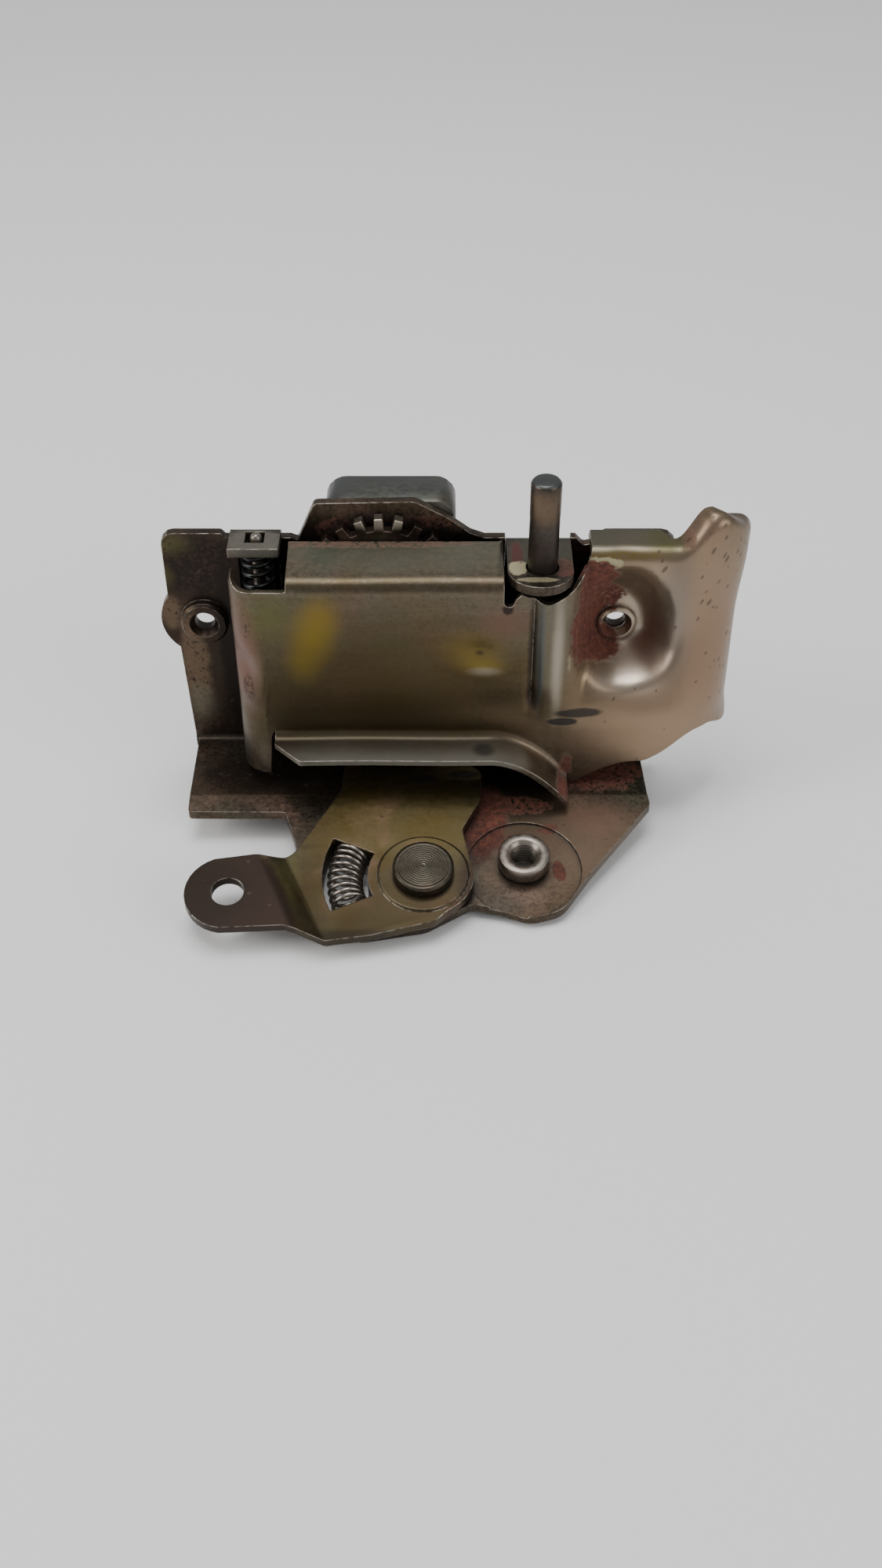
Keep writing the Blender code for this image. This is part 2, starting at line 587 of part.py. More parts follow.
def build_pawl(look):
    x, z = PAWL_PIVOT
    outline = rounded([
        (-40.2, 25.2, 0.6), (-38.2, 25.6, 0.4), (-38.0, 27.0, 0.5), (-36.0, 27.0, 0.5), (-35.6, 25.8, 0.4),
        (-32.5, 27.4, 1.5), (-27.0, 27.2, 2.0), (-20.0, 25.0, 4.0), (-15.05, 24.6, 0.3), (-14.05, 28.05, 0.3),
        (-13.15, 28.1, 0.3), (-12.9, 24.4, 0.5), (-12.4, 22.4, 1.0), (-24.5, 18.6, 4.0), (-20.6, 10.0, 2.0),
        (-19.9, 5.4, 2.0), (-25.0, 4.6, 2.0), (-27.0, 15.0, 4.0), (-33.4, 16.8, 4.0), (-40.2, 22.6, 1.5),
    ], 3)
    pawl = prism("pawl", [(a - x, b - z) for a, b in outline], RATCHET_FRONT, RATCHET_BACK, "XZ", look)
    for name, centre, radius in (("pawl_pivot_hole", (0.0, 0.0), PAWL_PIN + GAP),
                                 ("pawl_stud_hole", (STUD[0] - x, STUD[1] - z), 1.7)):
        boolean(pawl, place(prism(name, ring_points(radius, 20, centre), -20, 20, "XZ"), (x, 0, z)))
    return place(pawl, (x, 0, z))


def build_pawl_fittings(steel, dark):
    front = -RATCHET_FRONT
    stud = turned("pawl_stud", [
        (0.0, 13.6), (STUD_RADIUS - 0.4, 13.6), (STUD_RADIUS, 13.2), (STUD_RADIUS, front + GAP), (1.4, front + GAP),
        (1.4, 0.6), (0.0, 0.6)], steel, 20, "Y")
    place(stud, (STUD[0], 0, STUD[1]))
    pin = turned("pawl_pivot_pin", [
        (0.0, 5.6), (PAWL_PIN - 0.4, 5.6), (PAWL_PIN, 5.2), *flush_head(PAWL_PIN), (0.0, -PLATE)], steel, 24, "Y")
    place(pin, (PAWL_PIVOT[0], 0, PAWL_PIVOT[1]))
    clip = turned("pawl_clip", [(PAWL_PIN + GAP, front + GAP), (PAWL_PIN + GAP, front + 1.1), (4.6, front + 1.1),
                                (4.6, front + GAP)], dark, 24, "Y")
    place(clip, (PAWL_PIVOT[0], 0, PAWL_PIVOT[1]))


def build_guide_pin(look):
    """The pin inside the pawl's spring: its seat stands on the pawl, its staked end in the tab's slot."""
    pin = turned("spring_guide_pin", [
        (0.0, 54.9), (0.8, 54.8), (1.2, 54.3), (1.2, 28.6), (3.3, 28.5), (3.3, 27.3), (0.0, 27.3)], look, 16)
    return place(pin, (*SPRING_AXIS, 0))


def build_pawl_spring(look):
    turns, per_turn, coil, wire = 9, 12, 3.05, 0.5
    low, high = 28.5 + GAP + wire, 52.0 - GAP - wire
    points = []
    for k in range(turns * per_turn + 1):
        share = k / (turns * per_turn)
        wind = 2 * math.pi * turns * share
        points.append((coil * math.cos(wind), coil * math.sin(wind), mix(low, high, share)))
    return place(tube("pawl_spring", points, wire, look, 1), (*SPRING_AXIS, 0))


# ---------------------------------------------------------------- lock rod and lever

def build_lock_rod(rod_look, pin_look):
    rod = turned("lock_rod", [
        (0.0, ROD_TOP), (ROD - 0.6, ROD_TOP), (ROD, ROD_TOP - 0.7), (ROD, ROD_BOTTOM + 0.6),
        (ROD - 0.6, ROD_BOTTOM), (0.0, ROD_BOTTOM)], rod_look, 32)
    hole = prism("cross_pin_hole", ring_points(1.4 + GAP, 16, (0.0, CROSS_PIN_HEIGHT)), -10, 10, "XZ")
    boolean(rod, place(hole, (*ROD_AXIS, 0)))
    place(rod, (*ROD_AXIS, 0))
    pin = turned("rod_cross_pin", [(0.0, 14.2), (1.1, 14.2), (1.4, 13.9), (1.4, 4.5), (1.1, 4.2), (0.0, 4.2)],
                 pin_look, 16, "Y")
    place(pin, (ROD_AXIS[0], 0, CROSS_PIN_HEIGHT))


def build_lock_lever(look, pin_look, clip_look):
    x, z = LOCK_PIVOT
    outline = rounded([(14.6, 11.4, 1.5), (24.5, 11.2, 3.0), (36.0, 8.6, 5.0), (43.0, 6.4, 4.5), (48.0, 9.0, 4.0),
                       (47.4, 15.4, 4.0), (41.0, 16.6, 4.0), (25.5, 18.8, 3.0), (14.6, 18.6, 1.5)], 4)
    lever = prism("lock_lever", [(a - x, b - z) for a, b in outline], -6.9, -4.9, "XZ", look)
    slot = arc((22.0 - x, CROSS_PIN_HEIGHT - z), 1.9, -90, 90, 6) + arc((18.4 - x, CROSS_PIN_HEIGHT - z), 1.9, 90, 270, 6)
    boolean(lever, place(prism("lock_slot", slot, -20, 20, "XZ"), (x, 0, z)))
    boolean(lever, place(prism("lock_pivot_hole", ring_points(LOCK_PIN + GAP, 20), -20, 20, "XZ"), (x, 0, z)))
    place(lever, (x, 0, z))
    pin = turned("lock_pivot_pin", [
        (0.0, 9.6), (LOCK_PIN - 0.4, 9.6), (LOCK_PIN, 9.2), (LOCK_PIN, 4.6), (3.6, 4.6), (3.6, GAP), (LOCK_PIN, GAP),
        *flush_head(LOCK_PIN), (0.0, -PLATE)], pin_look, 24, "Y")
    place(pin, (x, 0, z))
    clip = turned("lock_clip", [(LOCK_PIN + GAP, 7.2), (LOCK_PIN + GAP, 8.0), (4.4, 8.0), (4.4, 7.2)], clip_look, 24, "Y")
    place(clip, (x, 0, z))


# ---------------------------------------------------------------- rotor

def build_rotor(shaft_look, wheel_look, star_look, bearing_look, clip_look):
    x, z = ROTOR
    at_axis = (x, 0, z)
    bearing = turned("rotor_bearing", [(SHAFT + GAP, 0.1), (BEARING, 0.1), *flush_head(BEARING),
                                       (SHAFT + GAP, -PLATE)], bearing_look, 32, "Y")
    place(bearing, at_axis)
    shaft = turned("rotor_shaft", [
        (0.0, 7.0), (SHAFT - 0.6, 7.0), (SHAFT, 6.4), (SHAFT, 5.6), (SHAFT - 0.7, 5.5), (SHAFT - 0.7, 4.4),
        (SHAFT, 4.3), (SHAFT, -13.6), (SHAFT - 0.6, -14.2), (0.0, -14.2)], shaft_look, 32, "Y")
    place(shaft, at_axis)
    clip = turned("rotor_circlip", [(SHAFT - 0.4, 4.6), (SHAFT - 0.4, 5.3), (6.6, 5.3), (6.6, 4.6)], clip_look, 32, "Y")
    place(clip, at_axis)
    washer = turned("thrust_washer", [(SHAFT + GAP, 3.2), (SHAFT + GAP, 4.2), (7.6, 4.2), (7.6, 3.2)],
                    bearing_look, 32, "Y")
    place(washer, at_axis)
    teeth = toothed(RATCHET_TEETH, RATCHET_TIP, RATCHET_ROOT, 0.42, 0.40, 0.0, RATCHET_TURN)
    ratchet = prism("ratchet_wheel", teeth, RATCHET_FRONT, RATCHET_BACK, "XZ", wheel_look)
    boolean(ratchet, place(prism("ratchet_bore", ring_points(SHAFT + GAP, 32), -20, 20, "XZ"), at_axis))
    place(ratchet, at_axis)
    lobes = toothed(STAR_TEETH, STAR_TIP, STAR_ROOT, 0.24, 0.30, 0.0, 22.5)
    star = prism("star_wheel", lobes, STAR_FRONT, STAR_BACK, "XZ", star_look)
    boolean(star, place(prism("star_bore", ring_points(SHAFT + GAP, 32), -20, 20, "XZ"), at_axis))
    place(star, at_axis)


# ---------------------------------------------------------------- assembly

for old in list(bpy.data.objects):
    bpy.data.objects.remove(old)

datum = bpy.data.objects.new("latch_datum", None)
bpy.context.collection.objects.link(datum)
datum.location = Vector(DATUM) * MM

zinc_plate = material("dull zinc plate", (0.30, 0.27, 0.20), 0.45, 0.9)
cover_zinc = material("yellowed zinc sheet", (0.36, 0.31, 0.20), 0.38, 0.9)
lever_zinc = material("yellow zinc lever", (0.33, 0.28, 0.16), 0.42, 0.9)
guard_grey = material("grey guard", (0.26, 0.27, 0.26), 0.45, 0.85)
bright_steel = material("bright steel", (0.45, 0.45, 0.43), 0.30, 1.0)
dark_steel = material("dark greased steel", (0.07, 0.06, 0.05), 0.5, 0.8)
spring_steel = material("spring steel", (0.42, 0.40, 0.38), 0.3, 1.0)
rod_steel = material("worn rod steel", (0.20, 0.18, 0.16), 0.4, 0.9)
bearing_bronze = material("bearing bronze", (0.36, 0.24, 0.10), 0.4, 0.9)

build_frame(zinc_plate)
build_cover(cover_zinc)
build_guard(guard_grey)
build_guard_rivets(dark_steel)
build_threaded_bush(bright_steel)
build_remote_lever(lever_zinc)
build_lever_pivot(bright_steel, dark_steel)
build_return_spring(spring_steel)
build_pawl(dark_steel)
build_pawl_fittings(dark_steel, dark_steel)
build_guide_pin(dark_steel)
build_pawl_spring(dark_steel)
build_lock_rod(rod_steel, dark_steel)
build_lock_lever(zinc_plate, dark_steel, dark_steel)
build_rotor(bright_steel, bright_steel, bright_steel, bearing_bronze, dark_steel)
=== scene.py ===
"""Looks of a worn vehicle door latch mechanism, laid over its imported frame.

Lengths in the classes are latch millimetres: X across, Z up from the shelf's top and Y = 0 on the front of the
back plate, with the viewer at -Y. The function world() turns them into the frame's metres.
"""

import json
import logging
import math
from collections.abc import Callable, Iterator, Sequence
from contextlib import contextmanager
from dataclasses import dataclass, field
from enum import Enum

import bpy
from mathutils import Matrix, Vector

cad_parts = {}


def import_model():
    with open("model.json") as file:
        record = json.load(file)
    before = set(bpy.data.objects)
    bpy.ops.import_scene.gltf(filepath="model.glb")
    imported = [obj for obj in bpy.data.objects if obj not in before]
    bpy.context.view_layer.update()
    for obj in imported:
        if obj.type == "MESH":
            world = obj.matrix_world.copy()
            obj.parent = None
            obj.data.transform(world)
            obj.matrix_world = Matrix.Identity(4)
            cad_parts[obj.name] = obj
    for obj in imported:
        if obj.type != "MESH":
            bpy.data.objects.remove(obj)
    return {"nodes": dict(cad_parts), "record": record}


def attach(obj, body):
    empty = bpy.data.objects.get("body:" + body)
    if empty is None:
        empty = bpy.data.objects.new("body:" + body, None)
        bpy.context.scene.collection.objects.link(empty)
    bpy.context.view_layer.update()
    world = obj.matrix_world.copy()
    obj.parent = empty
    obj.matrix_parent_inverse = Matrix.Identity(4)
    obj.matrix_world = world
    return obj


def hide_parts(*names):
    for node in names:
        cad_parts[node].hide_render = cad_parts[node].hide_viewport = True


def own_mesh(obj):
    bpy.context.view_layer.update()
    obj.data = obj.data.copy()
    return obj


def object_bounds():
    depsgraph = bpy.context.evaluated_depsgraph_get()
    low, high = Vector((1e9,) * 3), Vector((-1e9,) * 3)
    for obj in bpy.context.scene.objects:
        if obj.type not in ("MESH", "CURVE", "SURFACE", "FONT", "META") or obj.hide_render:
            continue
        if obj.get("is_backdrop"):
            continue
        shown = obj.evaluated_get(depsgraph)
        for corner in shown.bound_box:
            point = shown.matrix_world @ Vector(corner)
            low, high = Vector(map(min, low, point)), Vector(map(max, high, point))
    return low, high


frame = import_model()

LOG = logging.getLogger("latch")
MM = 0.001
DATUM = Vector((0.0, -2.0, -12.0))  # the latch's own zero, seen from the frame's origin
TILT = math.radians(10)  # how far the lower plate bends down
SHELF_DEPTH = 19.4
SHEET = 1.2  # the cover's thickness

Point = tuple[float, float]
Triple = tuple[float, float, float]


def world(x: float, y: float, z: float) -> Vector:
    """A point in latch millimetres as a point in the frame's metres."""
    return (Vector((x, y, z)) + DATUM) * MM


def upright(x: float, y: float, z: float) -> Matrix:
    """The place of a piece that stands square in the latch, as a matrix."""
    return Matrix.Translation(world(x, y, z))


def lying(x: float, y: float, z: float) -> Matrix:
    """The place of a piece whose own Z runs along the latch's -Y."""
    return upright(x, y, z) @ Matrix.Rotation(math.radians(90), 4, "X")


def on_lower_plate(x: float, along: float, lift: float = 0.0) -> Matrix:
    """The place of a piece that stands on the sloping lower plate.

    Args:
        x: place across the latch.
        along: distance down the plate from its bend.
        lift: height over the plate's top.

    Returns:
        The piece's matrix, its Z along the plate's normal.
    """
    y = -SHELF_DEPTH - along * math.cos(TILT) - lift * math.sin(TILT)
    z = -along * math.sin(TILT) + lift * math.cos(TILT)
    return upright(x, y, z) @ Matrix.Rotation(TILT, 4, "X")


def smooth(low: float, high: float, value: float) -> float:
    """0 below low, 1 above high, with an S between."""
    t = min(max((value - low) / (high - low), 0.0), 1.0)
    return t * t * (3 - 2 * t)


def mix(a: float, b: float, t: float) -> float:
    """The value a share t of the way from a to b."""
    return a + (b - a) * t


def arc(centre: Point, radius: float, start_deg: float, end_deg: float, count: int = 8) -> list[Point]:
    """Points along an arc, both ends included."""
    turns = [math.radians(mix(start_deg, end_deg, k / count)) for k in range(count + 1)]
    return [(centre[0] + radius * math.cos(a), centre[1] + radius * math.sin(a)) for a in turns]


# ---------------------------------------------------------------- modelling by hand


def deselect() -> None:
    """Leaves nothing selected, in object mode."""
    if bpy.context.object and bpy.context.object.mode != "OBJECT":
        bpy.ops.object.mode_set(mode="OBJECT")
    bpy.ops.object.select_all(action="DESELECT")


def activate(piece: bpy.types.Object) -> bpy.types.Object:
    """Makes a piece the only selected and the active one."""
    deselect()
    piece.select_set(True)
    bpy.context.view_layer.objects.active = piece
    return piece


@contextmanager
def editing(piece: bpy.types.Object, everything: bool = True) -> Iterator[None]:
    """Opens a piece in edit mode for the length of a with block."""
    activate(piece)
    bpy.ops.object.mode_set(mode="EDIT")
    bpy.ops.mesh.select_all(action="SELECT" if everything else "DESELECT")
    yield
    bpy.ops.object.mode_set(mode="OBJECT")


def apply_all(piece: bpy.types.Object) -> None:
    """Applies every modifier of a piece, in order."""
    activate(piece)
    for modifier in list(piece.modifiers):
        bpy.ops.object.modifier_apply(modifier=modifier.name)


def soften(piece: bpy.types.Object, degrees: float = 35.0) -> None:
    """Shades a piece smooth, except over its sharp edges."""
    activate(piece)
    bpy.ops.object.shade_smooth_by_angle(angle=math.radians(degrees))


def outline_ring(name: str, outline: Sequence[Point], filled: bool) -> bpy.types.Object:
    """A circle primitive pulled to an outline given in millimetres, in its own XY plane."""
    deselect()
    fill = "NGON" if filled else "NOTHING"
    bpy.ops.mesh.primitive_circle_add(vertices=len(outline), radius=MM, fill_type=fill)
    ring = bpy.context.object
    ring.name = name
    for vertex, (x, y) in zip(ring.data.vertices, outline):
        vertex.co = Vector((x, y, 0.0)) * MM
    return ring


def turned(name: str, profile: Sequence[Point], place: Matrix, steps: int = 96) -> bpy.types.Object:
    """A piece turned on a lathe.

    Args:
        name: the piece's name.
        profile: closed outline of (radius, height) points in millimetres.
        place: where its foot stands and how its axis leans.
        steps: segments round the axis.

    Returns:
        The finished piece, its place in its mesh.
    """
    piece = outline_ring(name, profile, filled=False)
    for vertex, (radius, height) in zip(piece.data.vertices, profile):
        vertex.co = Vector((radius, 0.0, height)) * MM
    with editing(piece):
        bpy.ops.mesh.spin(steps=steps, angle=math.tau, center=(0, 0, 0), axis=(0, 0, 1))
        bpy.ops.mesh.select_all(action="SELECT")
        bpy.ops.mesh.remove_doubles(threshold=1e-7)
        bpy.ops.mesh.delete_loose()
        bpy.ops.mesh.select_all(action="SELECT")
        bpy.ops.mesh.normals_make_consistent(inside=False)
    piece.data.transform(place)
    soften(piece)
    return piece


def cutter(name: str, outline: Sequence[Point], low: float, high: float, place: Matrix) -> bpy.types.Object:
    """A prism to cut with: an outline extruded from low to high along its own Z."""
    block = outline_ring(name, outline, filled=True)
    with editing(block):
        bpy.ops.transform.translate(value=(0, 0, low * MM))
        bpy.ops.mesh.extrude_region_move(TRANSFORM_OT_translate={"value": (0, 0, (high - low) * MM)})
        bpy.ops.mesh.select_all(action="SELECT")
        bpy.ops.mesh.normals_make_consistent(inside=False)
    block.data.transform(place)
    return block


def combine(piece: bpy.types.Object, other: bpy.types.Object, operation: str = "DIFFERENCE") -> None:
    """Cuts a piece with another or joins it on, and removes the other."""
    activate(piece)
    modifier = piece.modifiers.new(operation.title(), "BOOLEAN")
    modifier.operation = operation
    modifier.solver = "EXACT"
    modifier.object = other
    bpy.ops.object.modifier_apply(modifier=modifier.name)
    bpy.data.objects.remove(other)


def wire(name: str, route: Sequence[Triple], radius: float, place: Matrix, sides: int = 6) -> bpy.types.Object:
    """A round wire along a route in millimetres, made a closed mesh."""
    curve = bpy.data.curves.new(name, "CURVE")
    curve.dimensions = "3D"
    curve.bevel_depth = radius * MM
    curve.bevel_resolution = sides
    curve.use_fill_caps = True
    spline = curve.splines.new("POLY")
    spline.points.add(len(route) - 1)
    for knot, spot in zip(spline.points, route):
        knot.co = (*(Vector(spot) * MM), 1.0)
    piece = bpy.data.objects.new(name, curve)
    bpy.context.collection.objects.link(piece)
    activate(piece)
    bpy.ops.object.convert(target="MESH")
    piece = bpy.context.object
    piece.name = name
    with editing(piece):
        bpy.ops.mesh.remove_doubles(threshold=1e-8)
        bpy.ops.mesh.normals_make_consistent(inside=False)
    piece.data.transform(place)
    soften(piece, 50.0)
    return piece


def rounded_copy(node: str, width: float, segments: int = 2, angle: float = 38.0) -> bpy.types.Object:
    """A copy of a pressed or cut part with its edges broken.

    Args:
        node: the part of the frame that is copied.
        width: how wide the broken edges are.
        segments: facets across a broken edge.
        angle: edges sharper than this many degrees are broken.

    Returns:
        The new piece.
    """
    source = frame["nodes"][node]
    piece = bpy.data.objects.new(f"{node}_finished", source.data.copy())
    bpy.context.collection.objects.link(piece)
    piece.data.materials.clear()
    with editing(piece):
        bpy.ops.mesh.customdata_custom_splitnormals_clear()
        bpy.ops.mesh.remove_doubles(threshold=2e-6)
        bpy.ops.mesh.dissolve_limited(angle_limit=math.radians(0.6))
    soften(piece, 30.0)
    bevel = piece.modifiers.new("Broken edges", "BEVEL")
    bevel.width = width * MM
    bevel.segments = segments
    bevel.limit_method = "ANGLE"
    bevel.angle_limit = math.radians(angle)
    bevel.use_clamp_overlap = True
    bevel.harden_normals = True
    apply_all(piece)
    return piece


# ---------------------------------------------------------------- shader building


class Tree:
    """A node tree being wired, with one short call for each kind of node."""

    def __init__(self, tree: bpy.types.NodeTree) -> None:
        """Takes the tree that the calls add to."""
        self.tree = tree

    def node(self, kind: str, **settings: object) -> bpy.types.Node:
        """Adds a node and sets its plain properties."""
        made = self.tree.nodes.new(kind)
        for key, value in settings.items():
            setattr(made, key, value)
        return made

    def feed(self, target: bpy.types.NodeSocket, value: object) -> None:
        """Links a socket, or sets a plain value on the target."""
        if isinstance(value, bpy.types.NodeSocket):
            self.tree.links.new(value, target)
        elif value is not None:
            target.default_value = value

    def maths(self, operation: str, a: object, b: object = None, clamp: bool = False) -> bpy.types.NodeSocket:
        """One sum, product or other step on numbers."""
        made = self.node("ShaderNodeMath", operation=operation, use_clamp=clamp)
        self.feed(made.inputs[0], a)
        self.feed(made.inputs[1], b)
        return made.outputs[0]

    def vector(self, operation: str, a: object, b: object = None) -> bpy.types.Node:
        """One step on vectors; its node has both the vector and the value output."""
        made = self.node("ShaderNodeVectorMath", operation=operation)
        self.feed(made.inputs[0], a)
        self.feed(made.inputs[1], b)
        return made

    def blend(self, share: object, a: object, b: object, mode: str = "MIX") -> bpy.types.NodeSocket:
        """A colour between a and b."""
        made = self.node("ShaderNodeMix", data_type="RGBA", blend_type=mode)
        self.feed(made.inputs[0], share)
        self.feed(made.inputs[6], a)
        self.feed(made.inputs[7], b)
        return made.outputs[2]

    def span(self, value: object, low: object, high: object, to_low: float = 0.0,
             to_high: float = 1.0) -> bpy.types.NodeSocket:
        """A value eased from one range to another.

        Args:
            value: the number or socket.
            low: input that gives to_low.
            high: input that gives to_high.
            to_low: output at low.
            to_high: output at high.

        Returns:
            The output socket.
        """
        made = self.node("ShaderNodeMapRange", interpolation_type="SMOOTHSTEP")
        for key, item in (("Value", value), ("From Min", low), ("From Max", high),
                          ("To Min", to_low), ("To Max", to_high)):
            self.feed(made.inputs[key], item)
        return made.outputs[0]

    def noise(self, place: object, scale: object, detail: float = 4.0, rough: float = 0.55,
              bend: float = 0.0) -> bpy.types.NodeSocket:
        """Cloudy noise from 0 to 1, its scale in repeats to the metre."""
        made = self.node("ShaderNodeTexNoise")
        for key, item in (("Vector", place), ("Scale", scale), ("Detail", detail), ("Roughness", rough),
                          ("Distortion", bend)):
            self.feed(made.inputs[key], item)
        return made.outputs[0]

    def ramp(self, value: object, stops: Sequence[tuple[float, Triple]]) -> bpy.types.NodeSocket:
        """A colour ramp from (place, colour) stops."""
        made = self.node("ShaderNodeValToRGB")
        bands = made.color_ramp.elements
        while len(bands) < len(stops):
            bands.new(0.5)
        for band, (place, colour) in zip(bands, stops):
            band.position = place
            band.color = (*colour, 1.0)
        self.feed(made.inputs[0], value)
        return made.outputs[0]

    def stretched(self, place: object, scale: Triple, turn: Triple = (0.0, 0.0, 0.0)) -> bpy.types.NodeSocket:
        """Coordinates scaled and turned by a Mapping node."""
        made = self.node("ShaderNodeMapping")
        self.feed(made.inputs["Vector"], place)
        made.inputs["Rotation"].default_value = turn
        made.inputs["Scale"].default_value = scale
        return made.outputs[0]

    def use(self, group: bpy.types.NodeTree, **inputs: object) -> bpy.types.Node:
        """Places a shared effect and gives its inputs their values."""
        made = self.node("ShaderNodeGroup", node_tree=group)
        for key, item in inputs.items():
            self.feed(made.inputs[key.replace("_", " ")], item)
        return made


FLOAT, VECTOR, COLOUR = "NodeSocketFloat", "NodeSocketVector", "NodeSocketColor"


def effect(name: str, inputs: dict[str, str], outputs: dict[str, str],
           wiring: Callable[[Tree, dict[str, bpy.types.NodeSocket]], dict[str, object]]) -> bpy.types.NodeTree:
    """Makes a shader node group.

    Args:
        name: the group's name.
        inputs: socket names and kinds.
        outputs: socket names and kinds.
        wiring: function that wires the inside and returns what feeds each output.

    Returns:
        The group.
    """
    group = bpy.data.node_groups.new(name, "ShaderNodeTree")
    for key, kind in inputs.items():
        group.interface.new_socket(key, in_out="INPUT", socket_type=kind)
    for key, kind in outputs.items():
        group.interface.new_socket(key, in_out="OUTPUT", socket_type=kind)
    tree = Tree(group)
    entry = tree.node("NodeGroupInput")
    leave = tree.node("NodeGroupOutput")
    found = wiring(tree, {key: entry.outputs[key] for key in inputs})
    for key, value in found.items():
        tree.feed(leave.inputs[key], value)
    return group


class Effects:
    """The effects that several finishes share, each a shader node group built once."""

    def __init__(self) -> None:
        """Builds every group."""
        self.clouds = effect("Clouds", {"Place": VECTOR}, {"Broad": FLOAT, "Fine": FLOAT}, self._clouds)
        self.patch = effect("Ragged patch", {"Place": VECTOR, "Cloud": FLOAT, "Centre": VECTOR, "Radii": VECTOR,
                                             "Ragged": FLOAT, "Edge": FLOAT}, {"Mask": FLOAT}, self._patch)
        self.grain = effect("Rolling grain", {"Place": VECTOR}, {"Shade": FLOAT, "Height": FLOAT}, self._grain)
        # Painted shade: ambient occlusion darkens corners and gaps, with some cloudy soiling.
        self.shade_and_grime = effect("Painted shade in corners, with soiling", {"Place": VECTOR, "Reach": FLOAT, "Amount": FLOAT},
                            {"Mask": FLOAT}, self._shade_and_grime)
        self.wear = effect("Rubbed edges", {"Place": VECTOR, "Width": FLOAT, "Amount": FLOAT},
                           {"Mask": FLOAT, "Normal": VECTOR}, self._wear)
        self.pits = effect("Pits and nicks", {"Place": VECTOR, "Share": FLOAT}, {"Mask": FLOAT}, self._pits)
        self.plating = effect("Yellow zinc plating", {"Place": VECTOR, "Grey": COLOUR, "Warm": COLOUR,
                                                      "Tint": FLOAT}, {"Colour": COLOUR, "Rough": FLOAT},
                              self._plating)
        self.rust = effect("Rust", {"Place": VECTOR}, {"Colour": COLOUR, "Height": FLOAT}, self._rust)

    @staticmethod
    def _clouds(tree: Tree, given: dict[str, bpy.types.NodeSocket]) -> dict[str, object]:
        """Two cloudy fields that all the stains of a surface share."""
        return {"Broad": tree.noise(given["Place"], 300.0, 9.0, 0.70),
                "Fine": tree.noise(given["Place"], 1150.0, 7.0, 0.72)}

    @staticmethod
    def _patch(tree: Tree, given: dict[str, bpy.types.NodeSocket]) -> dict[str, object]:
        """A mask that is 1 inside an ellipsoid whose edge is ragged."""
        offset = tree.vector("SUBTRACT", given["Place"], given["Centre"]).outputs[0]
        far = tree.vector("LENGTH", tree.vector("DIVIDE", offset, given["Radii"]).outputs[0]).outputs[1]
        stray = tree.maths("MULTIPLY", tree.maths("SUBTRACT", given["Cloud"], 0.5), given["Ragged"])
        reach = tree.maths("ADD", far, stray)
        low = tree.maths("SUBTRACT", 1.0, given["Edge"])
        high = tree.maths("ADD", 1.0, given["Edge"])
        return {"Mask": tree.maths("SUBTRACT", 1.0, tree.span(reach, low, high))}

    @staticmethod
    def _grain(tree: Tree, given: dict[str, bpy.types.NodeSocket]) -> dict[str, object]:
        """Fine lines left by rolling, along X."""
        fine = tree.noise(tree.stretched(given["Place"], (0.05, 1.0, 1.0)), 5200.0, 3.0, 0.6)
        long = tree.noise(tree.stretched(given["Place"], (0.02, 1.0, 1.0)), 1300.0, 4.0, 0.6)
        both = tree.maths("ADD", tree.maths("MULTIPLY", fine, 0.5), tree.maths("MULTIPLY", long, 0.5))
        return {"Shade": tree.span(both, 0.3, 0.7), "Height": both}

    @staticmethod
    def _shade_and_grime(tree: Tree, given: dict[str, bpy.types.NodeSocket]) -> dict[str, object]:
        """A mask of painted shade where surfaces stand close together, made ragged by cloudy soiling."""
        hollow = tree.node("ShaderNodeAmbientOcclusion", samples=6)
        tree.feed(hollow.inputs["Distance"], given["Reach"])
        shut = tree.maths("SUBTRACT", 1.0, hollow.outputs["AO"])
        cloud = tree.noise(given["Place"], 420.0, 7.0, 0.65)
        ragged = tree.maths("ADD", shut, tree.maths("MULTIPLY", tree.maths("SUBTRACT", cloud, 0.5), 0.55))
        return {"Mask": tree.maths("MULTIPLY", tree.span(ragged, 0.18, 0.62), given["Amount"], clamp=True)}

    @staticmethod
    def _wear(tree: Tree, given: dict[str, bpy.types.NodeSocket]) -> dict[str, object]:
        """A mask of edges rubbed bright, and a normal that rounds those edges."""
        rounding = tree.node("ShaderNodeBevel", samples=6)
        tree.feed(rounding.inputs["Radius"], given["Width"])
        flat = tree.node("ShaderNodeNewGeometry").outputs["Normal"]
        turn = tree.vector("DOT_PRODUCT", rounding.outputs[0], flat).outputs[1]
        sharp = tree.span(tree.maths("SUBTRACT", 1.0, turn), 0.015, 0.16)
        broken = tree.span(tree.noise(given["Place"], 650.0, 5.0, 0.6), 0.36, 0.58)
        mask = tree.maths("MULTIPLY", tree.maths("MULTIPLY", sharp, broken), given["Amount"], clamp=True)
        return {"Mask": mask, "Normal": rounding.outputs[0]}

